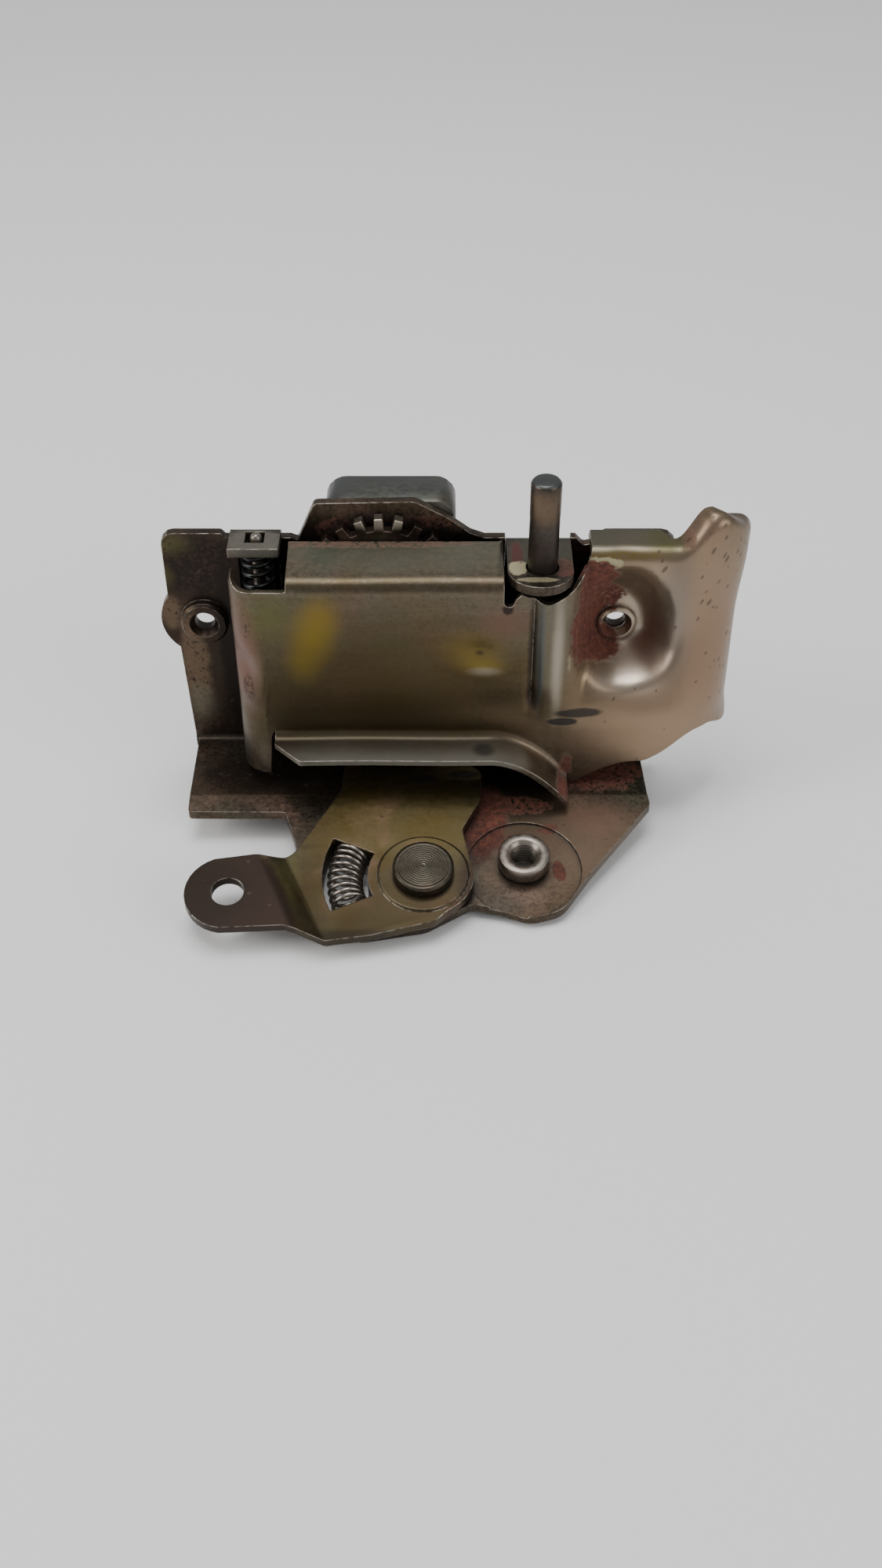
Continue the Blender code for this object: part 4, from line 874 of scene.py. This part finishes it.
ROD_FINISH = Finish("worn rod steel", grey=(0.062, 0.056, 0.050), warm=(0.060, 0.044, 0.032), tint=0.55, rough=0.36,
                    grain=0.15, wear=0.5, shade_and_grime=0.4, pits=0.10, mottle=0.2, patches=(
                        Patch(Stain.TAN, (20.0, -10.6, 66.4), (6.0, 6.0, 3.6), 1.2, 0.45, 0.60, 0.85),
                        Patch(Stain.BEIGE, (19.0, -13.0, 67.0), (2.4, 2.0, 2.6), 0.9, 0.70, 0.12),
                        Patch(Stain.BLUE_GREY, (20.0, -10.6, 71.6), (5.0, 5.0, 0.7), 0.3, 0.20, 0.8),
                        Patch(Stain.BROWN, (20.0, -10.6, 57.0), (6.0, 6.0, 3.5), 0.9, 0.5, 0.6),
                    ))
BRONZE_FINISH = Finish("oiled bronze", grey=(0.20, 0.125, 0.055), warm=(0.24, 0.14, 0.05), tint=0.6, rough=0.36,
                       grain=0.1, wear=0.5, shade_and_grime=0.7, pits=0.02)


@dataclass
class Outfit:
    """Gives pieces their finish, and ties them to the frame's bodies."""

    effects: Effects
    made: dict[str, bpy.types.Material] = field(default_factory=dict)

    def material(self, finish: Finish) -> bpy.types.Material:
        """The finish's material, built the first time it is asked for."""
        if finish.name not in self.made:
            self.made[finish.name] = finish.build(self.effects)
        return self.made[finish.name]

    def body_of(self, node: str) -> str:
        """The moving body that a node belongs to."""
        bodies = frame["record"]["behaviour"]["bodies"]
        return next(body for body, nodes in bodies.items() if node in nodes)

    def stand_in(self, piece: bpy.types.Object, node: str, finish: Finish) -> bpy.types.Object:
        """Lets a finished piece take a node's place.

        Args:
            piece: the new piece, in its place.
            node: the node it stands for.
            finish: what its surface is.

        Returns:
            The same piece.
        """
        piece.data.materials.clear()
        piece.data.materials.append(self.material(finish))
        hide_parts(node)
        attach(piece, self.body_of(node))
        LOG.info("%s: %d faces for %s", piece.name, len(piece.data.polygons), node)
        return piece


# ---------------------------------------------------------------- the cover


@dataclass(frozen=True)
class Dent:
    """A knock in the cover's face; a negative depth is a bulge."""

    x: float
    z: float
    across: float
    up: float
    depth: float


@dataclass(frozen=True)
class Station:
    """A line up the cover: where it is on the wall, corner, face or curl, seen from above."""

    kind: str
    x: float = 0.0
    turn: float = 0.0


@dataclass
class Cover:
    """The formed cover: box, bulge round the rod, dish round the screw hole and curled right end."""

    outfit: Outfit
    box_depth: float = 16.2
    wall_x: float = -42.3
    corner: float = 6.0
    hole: Point = (36.6, 32.8)
    hole_radius: float = 2.1
    ridge_x: float = 21.0
    ridge_reach: float = 8.0
    curl_start: float = 46.0
    curl_end: float = 62.5
    curl_back: float = 1.5
    top_bend: float = 3.0
    bottom_bend: float = 1.7
    flange_left: float = -35.0
    flange_right: float = 27.3
    flange_reach: float = 8.2
    dents: tuple[Dent, ...] = (
        Dent(7.9, 35.4, 2.6, 2.2, 0.40), Dent(8.6, 31.6, 4.5, 2.4, -0.28), Dent(-6.0, 30.0, 16.0, 7.0, 0.25),
        Dent(-27.0, 37.0, 6.0, 8.0, -0.18), Dent(12.5, 21.0, 7.0, 4.0, 0.30), Dent(-39.0, 24.0, 4.0, 3.5, 0.35),
        Dent(42.0, 22.0, 6.0, 3.0, 0.35), Dent(27.5, 18.6, 4.0, 1.4, 0.18), Dent(50.0, 18.0, 7.0, 5.0, -0.25),
    )

    def stations(self) -> list[Station]:
        """The cover's stations from its left wall to the end of its curl."""
        wall = [Station("wall", self.wall_x)]
        corner = [Station("corner", turn=a) for a in range(0, 86, 5)]
        first, last, count = self.wall_x + self.corner, 44.0, 104
        face = [Station("face", mix(first, last, k / count)) for k in range(count + 1)]
        curl = [Station("curl", turn=a) for a in range(0, 91, 3)]
        return wall + corner + face + curl

    def depth(self, x: float, z: float) -> float:
        """How far the outer face stands in front of the back plate.

        Args:
            x: place across.
            z: height.

        Returns:
            The depth in millimetres.
        """
        upper = smooth(17.0, 28.0, z)
        right = mix(15.6, 8.8, smooth(15.0, 40.0, z))
        crest = self.box_depth + 1.1 * upper * math.exp(-((x - self.ridge_x) / 2.3) ** 2)
        crest -= 1.0 * smooth(19.0, 24.0, z) * math.exp(-((x - 18.4) / 0.85) ** 2)
        if x <= self.ridge_x:
            shoulder = crest
        else:
            share = min(1.0, (x - self.ridge_x) / self.ridge_reach)
            fall = (1 - share ** 2.2) ** 0.75
            low = mix(self.box_depth, right, smooth(24, 40, x))
            shoulder = mix(low, right + (crest - right) * fall, upper)
        across = (x - self.hole[0]) / (13.0 if x > self.hole[0] else 9.5)
        above = (z - self.hole[1]) / (20.0 if z > self.hole[1] else 9.5)
        depth = mix(1.9, shoulder, smooth(0.34, 1.0, math.hypot(across, above)))
        for dent in self.dents:
            depth -= dent.depth * math.exp(-((x - dent.x) / dent.across) ** 2 - ((z - dent.z) / dent.up) ** 2)
        wave = 0.10 * math.sin(x / 5.3 + z / 9.1) + 0.07 * math.sin(z / 3.9 - x / 11.0)
        return min(depth + wave * smooth(0.9, 1.3, math.hypot(across, above)), self.box_depth + 1.2)

    def plan(self, station: Station, z: float) -> tuple[float, float, Point]:
        """Where a station's outer surface is at a height, as x, y and its outward direction."""
        turn = math.radians(station.turn)
        if station.kind == "wall":
            return station.x, -0.4, (-1.0, 0.0)
        if station.kind == "corner":
            knock = 1.7 * math.exp(-((z - 29.5) / 5.0) ** 2) + 0.7 * math.exp(-((z - 20.0) / 3.0) ** 2)
            radius = self.corner - knock * math.sin(2 * turn)
            centre_x = self.wall_x + self.corner
            centre_y = -(self.box_depth - self.corner)
            return (centre_x - radius * math.cos(turn), centre_y - radius * math.sin(turn),
                    (-math.cos(turn), -math.sin(turn)))
        if station.kind == "face":
            return station.x, -self.depth(station.x, z), (0.0, -1.0)
        waist = 0.9 * smooth(7.0, 16.0, z) * (1 - smooth(34.0, 50.0, z))
        x = mix(self.curl_start, self.curl_end - waist, math.sin(turn))
        deep = self.depth(x, z)
        return x, self.curl_back - (deep + self.curl_back) * math.cos(turn), (math.sin(turn), -math.cos(turn))

    def bottom(self, x: float) -> float:
        """The height of the lower edge or bend."""
        if x < -36.0:
            return 3.5
        if x < 28.0:
            return 13.5 - 13.0 * (max(0.0, x - 10.0) / 18.0) ** 2
        rise = 5.7 * math.sin(min(1.0, (x - 28.0) / 14.0) * math.pi / 2)
        return 0.5 + rise + 7.0 * smooth(42.0, 54.0, x) - 4.6 * smooth(56.0, self.curl_end, x)

    def top(self, x: float) -> float:
        """The height of the top bend."""
        return mix(51.8, 54.2, smooth(14, 28, x)) + 6.5 * smooth(47.0, 55.0, x) - 4.0 * smooth(56.0, self.curl_end, x)

    def flanged(self, station: Station) -> bool:
        """Whether the bottom flange is there."""
        return station.kind == "face" and self.flange_left <= station.x <= self.flange_right

    def strip(self, station: Station) -> list[Triple]:
        """The sheet's outer line at a station, from the flange's free edge to the back of the top."""
        x_mid = self.plan(station, 30.0)[0]
        low, high = self.bottom(x_mid), self.top(x_mid) - self.top_bend
        flanged = self.flanged(station)
        points: list[Triple] = []
        x, y, _ = self.plan(station, low + self.bottom_bend)
        reach = mix(2.2, self.flange_reach, min(1.0, (x - self.flange_left) / 5.8)) if flanged else 2.2
        for k in range(5):
            points.append((x, mix(y - reach, y - self.bottom_bend, k / 4), low))
        for degrees in (22.5, 45.0, 67.5):
            turn = math.radians(degrees)
            points.append((x, y - self.bottom_bend * (1 - math.sin(turn)),
                           low + self.bottom_bend * (1 - math.cos(turn))))
        first = low + (self.bottom_bend if flanged else 0.0)
        rows = 62
        for k in range(rows + 1):
            z = mix(first, high, k / rows)
            x, y, _ = self.plan(station, z)
            points.append((x, y, z))
        x, y, out = self.plan(station, high)
        for degrees in range(15, 91, 15):
            turn = math.radians(degrees)
            inward = self.top_bend * (1 - math.cos(turn))
            points.append((x - out[0] * inward, y - out[1] * inward, high + self.top_bend * math.sin(turn)))
        back = -3.4 if x < 12.0 else -0.4
        reach = (back - y) if station.kind == "face" else 5.2
        rise = 1.5 if x < 12.0 else 0.0
        for share in (0.33, 0.67, 1.0):
            inward = mix(self.top_bend, reach, share)
            points.append((x - out[0] * inward, y - out[1] * inward, high + self.top_bend + rise * share))
        return points

    def build(self) -> bpy.types.Object:
        """Forms the sheet from a grid, thickens it and cuts its holes and notches."""
        stations = self.stations()
        strips = [self.strip(station) for station in stations]
        columns, rows = len(stations), len(strips[0])
        deselect()
        bpy.ops.mesh.primitive_grid_add(x_subdivisions=columns - 1, y_subdivisions=rows - 1, size=1.0)
        cover = bpy.context.object
        cover.name = "cover_formed"
        bare: set[int] = set()
        for vertex in cover.data.vertices:
            column = round((vertex.co.x + 0.5) * (columns - 1))
            row = round((vertex.co.y + 0.5) * (rows - 1))
            vertex.co = world(*strips[column][row])
            if row < 8 and not self.flanged(stations[column]):
                bare.add(vertex.index)
        with editing(cover, everything=False):
            bpy.ops.mesh.select_mode(type="FACE")
        for polygon in cover.data.polygons:
            polygon.select = any(index in bare for index in polygon.vertices)
        bpy.ops.object.mode_set(mode="EDIT")
        bpy.ops.mesh.delete(type="FACE")
        bpy.ops.object.mode_set(mode="OBJECT")
        middle = min(cover.data.polygons, key=lambda p: (p.center - world(-10, -16, 30)).length)
        if middle.normal.y > 0:
            with editing(cover):
                bpy.ops.mesh.flip_normals()
        sheet = cover.modifiers.new("Sheet", "SOLIDIFY")
        sheet.thickness = SHEET * MM
        sheet.offset = -1.0
        sheet.use_even_offset = True
        apply_all(cover)
        self.cut(cover)
        soften(cover, 40.0)
        return self.outfit.stand_in(cover, "cover", COVER_FINISH)

    def cut(self, cover: bpy.types.Object) -> None:
        """Makes the screw hole with its lip, the two notches and the scallop of the left wall."""
        hole_x, hole_z = self.hole
        collar = [(0.0, 1.0), (4.2, 1.0), (4.2, 2.5), (4.1, 2.8), (3.8, 3.0), (0.0, 3.0)]
        combine(cover, turned("lip", collar, lying(hole_x, 0.0, hole_z)), "UNION")
        through = Matrix.Translation(DATUM * MM) @ Matrix.Rotation(math.radians(90), 4, "X")
        combine(cover, cutter("screw hole", arc(self.hole, self.hole_radius, 0, 350, 35), -6, 14, through))
        mouth = [(0.0, 1.2), (2.1, 1.2), (2.9, 2.6), (3.2, 3.0), (3.3, 4.0), (0.0, 4.0)]
        combine(cover, turned("screw mouth", mouth, lying(hole_x, 0.0, hole_z)))
        spring_notch = [(-52, 70), (-52, 49.8), *arc((-39.4, 52.0), 2.8, 190, 262, 8), (-37.0, 49.4), (-31.0, 49.4),
                        (-30.5, 49.8), (-30.5, 70)]
        combine(cover, cutter("spring notch", spring_notch, -6, 40, through))
        rod_notch = [(12.4, 70), *arc((13.4, 47.2), 1.0, 180, 355, 10), (14.8, 48.0),
                     *arc((21.6, 57.6), 10.2, 236, 318, 14), (29.9, 54.0), (29.9, 70)]
        combine(cover, cutter("rod notch", rod_notch, -6, 40, through))
        side = Matrix.Translation(DATUM * MM) @ Matrix(((0, 0, 1, 0), (1, 0, 0, 0), (0, 1, 0, 0), (0, 0, 0, 1)))
        scallop = [(3.0, 27.0), *arc((-4.6, 31.0), 4.0, 270, 180, 8), (-8.6, 60.0), (3.0, 60.0)]
        combine(cover, cutter("collar scallop", scallop, -50.0, -38.5, side))


# ---------------------------------------------------------------- the other sub-assemblies


@dataclass
class Plates:
    """The back plate with its shelf and lower plate, and the guard block with its rivets."""

    outfit: Outfit
    broken_edge: float = 0.22
    rivets: tuple[tuple[str, float], ...] = (("left", -20.0), ("right", -0.5))
    rivet_height: float = 25.2

    def build(self) -> None:
        """Finishes the frame and the guard, and turns the guard's rivets."""
        self.outfit.stand_in(rounded_copy("frame_plate", self.broken_edge), "frame_plate", FRAME_FINISH)
        self.outfit.stand_in(rounded_copy("rotor_guard", 0.15), "rotor_guard", GUARD_FINISH)
        profile = [(0.0, -0.1), (2.9, -0.1), (2.0, -1.9), (2.0, -5.4), (3.2, -5.4), (3.15, -5.9), (2.8, -6.5),
                   (1.8, -6.8), (0.0, -6.85)]
        for side, x in self.rivets:
            rivet = turned(f"guard_rivet_{side}_turned", profile, lying(x, 0.0, self.rivet_height), 48)
            self.outfit.stand_in(rivet, f"guard_rivet_{side}", DARK_FINISH)


@dataclass
class ReleaseLever:
    """The release lever, the rivet and washer it turns on, and its curved return spring."""

    outfit: Outfit
    pivot: Point = (-3.6, 23.5)
    lift: float = 1.5
    head_radius: float = 6.2
    shank: float = 3.5
    spring_radius: float = 16.0
    spring_lift: float = 1.1
    spring_end: Point = (-14.6, -6.9)
    coil: float = 3.3
    gauge: float = 0.42
    turns: int = 9

    def build(self) -> None:
        """Makes the lever's pieces."""
        self.outfit.stand_in(rounded_copy("remote_lever", 0.25), "remote_lever", LEVER_FINISH)
        self.outfit.stand_in(self.rivet(), "lever_pivot_rivet", RIVET_FINISH)
        washer = [(3.8, -0.3), (3.8, -1.2), (7.9, -1.2), (8.0, -1.1), (8.0, -0.4), (7.9, -0.3)]
        place = on_lower_plate(*self.pivot, self.lift)
        self.outfit.stand_in(turned("lever_washer_turned", washer, place), "lever_washer", DARK_FINISH)
        spring = self.spring()
        self.outfit.stand_in(spring, "lever_return_spring", SPRING_FINISH)
        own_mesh(spring)

    def rivet(self) -> bpy.types.Object:
        """The rivet, its head turned with fine rings and a centre pip."""
        top, rim = 5.1, self.head_radius
        profile: list[Point] = [(0.0, top - 0.25), (0.25, top - 0.22), (0.45, top)]
        radius = 0.7
        while radius < rim - 1.0:
            profile += [(radius, top), (radius + 0.08, top - 0.05), (radius + 0.22, top - 0.05), (radius + 0.30, top)]
            radius += 0.52
        profile += arc((rim - 0.7, top - 0.7), 0.7, 80, 0, 6)
        profile += [(rim, 3.0), (rim - 0.15, 2.8), (self.shank, 2.8), (self.shank, -3.8), (5.6, -3.8), (5.4, -4.6),
                    (4.8, -5.1), (0.0, -5.3)]
        return turned("lever_pivot_rivet_turned", profile, on_lower_plate(*self.pivot, self.lift), 128)

    def spring(self) -> bpy.types.Object:
        """The return spring: a coil bent round the pivot, its end turns lying closer together."""
        half = math.radians(24.0)
        steps = self.turns * 28
        route: list[Triple] = []
        for k in range(steps + 1):
            share = k / steps
            eased = share - 0.028 * math.sin(math.tau * share)
            bend = math.pi - half + 2 * half * eased
            wind = math.tau * self.turns * share
            radius = self.spring_radius + self.coil * math.cos(wind)
            route.append((radius * math.cos(bend), radius * math.sin(bend), self.coil * math.sin(wind)))
        return wire("lever_return_spring_wound", route, self.gauge, on_lower_plate(*self.pivot, self.spring_lift), 4)


@dataclass
class Bush:
    """The threaded bush of the lower plate."""

    outfit: Outfit
    centre: Point = (17.1, 18.1)
    outer: float = 5.3
    bore: float = 2.6
    height: float = 3.4
    pitch: float = 0.8

    def build(self) -> None:
        """Turns the bush with a countersunk mouth and thread ridges."""
        bore: list[Point] = []
        z = -3.1
        while z < self.height - 1.5:
            bore += [(self.bore, z), (self.bore + 0.35, z + self.pitch / 2)]
            z += self.pitch
        mouth = [(self.bore, self.height - 0.9), (self.bore + 0.7, self.height - 0.1), (self.bore + 0.9, self.height)]
        outside = [(self.outer - 0.6, self.height), (self.outer - 0.2, self.height - 0.15),
                   (self.outer, self.height - 0.5), (self.outer, 0.3), (4.3, 0.2), (4.3, -2.3), (5.5, -2.4),
                   (5.3, -3.0), (5.0, -3.2), (self.bore, -3.2)]
        bush = turned("threaded_bush_turned", bore + mouth + outside, on_lower_plate(*self.centre), 96)
        self.outfit.stand_in(bush, "threaded_bush", BRIGHT_FINISH)


@dataclass
class LockRod:
    """The lock rod with its cross pin, and the slotted lock lever that it turns."""

    outfit: Outfit
    axis: Point = (20.0, -10.6)
    radius: float = 3.0
    top: float = 71.4
    bottom: float = 12.0
    pin_height: float = 15.0
    pivot: Point = (43.0, 11.5)

    def build(self) -> None:
        """Makes the rod, its pin, the lock lever, its pivot pin and the clip."""
        r, top, bottom = self.radius, self.top, self.bottom
        profile = [(0.0, top), (r - 0.62, top), (r - 0.5, top - 0.05), (r - 0.1, top - 0.5), (r, top - 0.75),
                   (r, top - 7.5), (r - 0.04, top - 7.8), (r - 0.04, bottom + 0.8), (r - 0.5, bottom + 0.1),
                   (0.0, bottom)]
        rod = turned("lock_rod_turned", profile, upright(self.axis[0], self.axis[1], 0.0), 96)
        hole = arc((0.0, 0.0), 1.7, 0, 345, 23)
        combine(rod, cutter("pin hole", hole, -10, 25, lying(self.axis[0], 0.0, self.pin_height)))
        soften(rod)
        self.outfit.stand_in(rod, "lock_rod", ROD_FINISH)
        pin = [(0.0, 14.2), (1.0, 14.2), (1.3, 14.0), (1.4, 13.8), (1.4, 4.6), (1.3, 4.4), (1.0, 4.2), (0.0, 4.2)]
        place = lying(self.axis[0], 0.0, self.pin_height)
        self.outfit.stand_in(turned("rod_cross_pin_turned", pin, place, 48), "rod_cross_pin", DARK_FINISH)
        self.outfit.stand_in(rounded_copy("lock_lever", 0.2), "lock_lever", FRAME_FINISH)
        pivot = [(0.0, 9.6), (1.7, 9.6), (2.1, 9.4), (2.2, 9.1), (2.2, 4.6), (3.5, 4.6), (3.6, 4.5), (3.6, 0.3),
                 (2.2, 0.3), (2.2, -1.0), (3.15, -1.95), (3.1, -2.0), (0.0, -2.0)]
        spot = lying(self.pivot[0], 0.0, self.pivot[1])
        self.outfit.stand_in(turned("lock_pivot_pin_turned", pivot, spot, 64), "lock_pivot_pin", DARK_FINISH)
        clip = [(2.5, 7.2), (2.5, 8.0), (4.3, 8.0), (4.4, 7.9), (4.4, 7.3), (4.3, 7.2)]
        self.outfit.stand_in(turned("lock_clip_turned", clip, spot, 64), "lock_clip", DARK_FINISH)


@dataclass
class Pawl:
    """The pawl with its stud, pin and clip, and the spring on its guide pin."""

    outfit: Outfit
    pivot: Point = (-30.0, 22.0)
    stud: Point = (-22.5, 7.5)
    spring_axis: Point = (-37.0, -3.0)
    coil: float = 3.05
    gauge: float = 0.5
    turns: int = 9
    seat: float = 28.5
    tab: float = 52.0

    def build(self) -> None:
        """Makes the pawl's pieces."""
        self.outfit.stand_in(rounded_copy("pawl", 0.15), "pawl", DARK_FINISH)
        pin = [(0.0, 5.6), (1.9, 5.6), (2.3, 5.4), (2.4, 5.1), (2.4, -1.0), (3.35, -1.95), (3.3, -2.0), (0.0, -2.0)]
        spot = lying(self.pivot[0], 0.0, self.pivot[1])
        self.outfit.stand_in(turned("pawl_pivot_pin_turned", pin, spot, 64), "pawl_pivot_pin", DARK_FINISH)
        clip = [(2.7, 3.2), (2.7, 4.0), (4.5, 4.0), (4.6, 3.9), (4.6, 3.3), (4.5, 3.2)]
        self.outfit.stand_in(turned("pawl_clip_turned", clip, spot, 64), "pawl_clip", DARK_FINISH)
        stud = [(0.0, 13.6), (1.4, 13.6), (1.75, 13.45), (1.9, 13.1), (1.9, 3.2), (1.4, 3.2), (1.4, 0.6), (0.0, 0.6)]
        place = lying(self.stud[0], 0.0, self.stud[1])
        self.outfit.stand_in(turned("pawl_stud_turned", stud, place, 48), "pawl_stud", DARK_FINISH)
        guide = [(0.0, 54.9), (0.5, 54.85), (0.9, 54.6), (1.2, 54.1), (1.2, 28.6), (3.2, 28.5), (3.3, 28.4),
                 (3.3, 27.4), (3.2, 27.3), (0.0, 27.3)]
        stem = upright(self.spring_axis[0], self.spring_axis[1], 0.0)
        self.outfit.stand_in(turned("spring_guide_pin_turned", guide, stem, 48), "spring_guide_pin", BRIGHT_FINISH)
        spring = self.spring(stem)
        self.outfit.stand_in(spring, "pawl_spring", PAWL_SPRING_FINISH)
        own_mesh(spring)

    def spring(self, stem: Matrix) -> bpy.types.Object:
        """The upright spring, with one close turn at each end."""
        low, high = self.seat + 0.3 + self.gauge, self.tab - 0.3 - self.gauge
        steps = self.turns * 30
        route: list[Triple] = []
        for k in range(steps + 1):
            share = k / steps
            wind = math.tau * self.turns * share
            eased = share - 0.055 * math.sin(math.tau * share)
            route.append((self.coil * math.cos(wind), self.coil * math.sin(wind), mix(low, high, eased)))
        return wire("pawl_spring_wound", route, self.gauge, stem, 4)


@dataclass
class Rotor:
    """The rotor: shaft, ratchet wheel, star wheel, circlip and thrust washer, and the bearing in the plate."""

    outfit: Outfit
    axis: Point = (-12.0, 42.0)
    shaft: float = 4.0

    def build(self) -> None:
        """Makes the rotor's pieces."""
        spot = lying(self.axis[0], 0.0, self.axis[1])
        r = self.shaft
        shaft = [(0.0, 7.0), (3.3, 7.0), (3.8, 6.8), (r, 6.3), (r, 5.6), (3.3, 5.5), (3.3, 4.4), (r, 4.3), (r, -13.5),
                 (3.85, -13.9), (3.4, -14.2), (1.2, -14.2), (0.9, -13.6), (0.0, -13.6)]
        self.outfit.stand_in(turned("rotor_shaft_turned", shaft, spot), "rotor_shaft", BRIGHT_FINISH)
        bearing = [(4.3, 0.1), (6.6, 0.1), (6.7, 0.0), (6.7, -1.0), (7.65, -1.95), (7.6, -2.0), (4.3, -2.0)]
        self.outfit.stand_in(turned("rotor_bearing_turned", bearing, spot), "rotor_bearing", BRONZE_FINISH)
        circlip = [(3.6, 4.6), (3.6, 5.3), (6.5, 5.3), (6.6, 5.2), (6.6, 4.7), (6.5, 4.6)]
        self.outfit.stand_in(turned("rotor_circlip_turned", circlip, spot), "rotor_circlip", DARK_FINISH)
        washer = [(4.3, 3.2), (4.3, 4.2), (7.5, 4.2), (7.6, 4.1), (7.6, 3.3), (7.5, 3.2)]
        self.outfit.stand_in(turned("thrust_washer_turned", washer, spot), "thrust_washer", BRONZE_FINISH)
        self.outfit.stand_in(rounded_copy("ratchet_wheel", 0.18), "ratchet_wheel", WHEEL_FINISH)
        self.outfit.stand_in(rounded_copy("star_wheel", 0.35), "star_wheel", BRIGHT_FINISH)


# ---------------------------------------------------------------- the studio


@dataclass(frozen=True)
class Lamp:
    """A soft lamp: where it hangs, how wide and how strong it is."""

    name: str
    place: Triple
    width: float
    height: float
    power: float
    colour: Triple = (1.0, 1.0, 1.0)


@dataclass
class Studio:
    """The pale floor, the soft lamps and the camera."""

    camera_place: Triple = (0.0, -0.2737, 0.2103)
    camera_tip: float = 49.0
    lens: float = 36.0
    floor_size: float = 6.0
    sky: float = 0.47
    lamps: tuple[Lamp, ...] = (
        Lamp("window_overhead", (-0.05, 0.02, 0.95), 0.60, 0.40, 5.5, (0.97, 0.98, 1.0)),
        Lamp("window_left", (-0.80, -0.25, 0.50), 0.45, 0.55, 4.0, (1.0, 0.97, 0.93)),
        Lamp("fill_right", (0.75, -0.50, 0.45), 0.50, 0.50, 2.5, (1.0, 0.98, 0.95)),
    )

    def build(self) -> None:
        """Sets up floor, lamps, sky and camera."""
        low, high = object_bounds()
        deselect()
        bpy.ops.mesh.primitive_plane_add(size=self.floor_size, location=(0.0, 0.0, low[2] - 0.0004))
        floor = bpy.context.object
        floor.name = "studio_floor"
        floor.data.materials.append(self.paper())
        floor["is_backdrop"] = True
        aim = Vector((0.0, (low[1] + high[1]) / 2, (low[2] + high[2]) / 2))
        for lamp in self.lamps:
            light = bpy.data.lights.new(lamp.name, "AREA")
            light.shape = "RECTANGLE"
            light.size, light.size_y = lamp.width, lamp.height
            light.energy = lamp.power
            light.color = lamp.colour
            holder = bpy.data.objects.new(lamp.name, light)
            holder.location = lamp.place
            holder.rotation_euler = (aim - Vector(lamp.place)).to_track_quat("-Z", "Y").to_euler()
            bpy.context.collection.objects.link(holder)
        sky = bpy.data.worlds.new("studio_sky")
        sky.use_nodes = True
        sky.node_tree.nodes["Background"].inputs["Color"].default_value = (0.96, 0.97, 1.0, 1.0)
        sky.node_tree.nodes["Background"].inputs["Strength"].default_value = self.sky
        bpy.context.scene.world = sky
        lens = bpy.data.cameras.new("camera")
        lens.lens = self.lens
        lens.sensor_width = 36.0
        lens.clip_start = 0.01
        camera = bpy.data.objects.new("camera", lens)
        camera.location = self.camera_place
        camera.rotation_euler = (math.radians(self.camera_tip), 0.0, 0.0)
        bpy.context.collection.objects.link(camera)
        bpy.context.scene.camera = camera

    def paper(self) -> bpy.types.Material:
        """The floor's matt pale paper."""
        material = bpy.data.materials.new("pale paper")
        material.use_nodes = True
        shader = material.node_tree.nodes["Principled BSDF"]
        shader.inputs["Base Color"].default_value = (0.88, 0.88, 0.87, 1.0)
        shader.inputs["Roughness"].default_value = 0.95
        shader.inputs["Specular IOR Level"].default_value = 0.1
        return material


def main() -> None:
    """Builds every sub-assembly over the frame, then the studio, logging each one as it starts."""
    logging.basicConfig(level=logging.INFO, format="%(name)s: %(message)s")
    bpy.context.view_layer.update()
    outfit = Outfit(Effects())
    for assembly in (Plates(outfit), Cover(outfit), ReleaseLever(outfit), Bush(outfit), LockRod(outfit), Pawl(outfit),
                     Rotor(outfit)):
        LOG.info("building %s", type(assembly).__name__)
        assembly.build()
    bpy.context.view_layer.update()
    Studio().build()


if __name__ == "__main__":
    main()
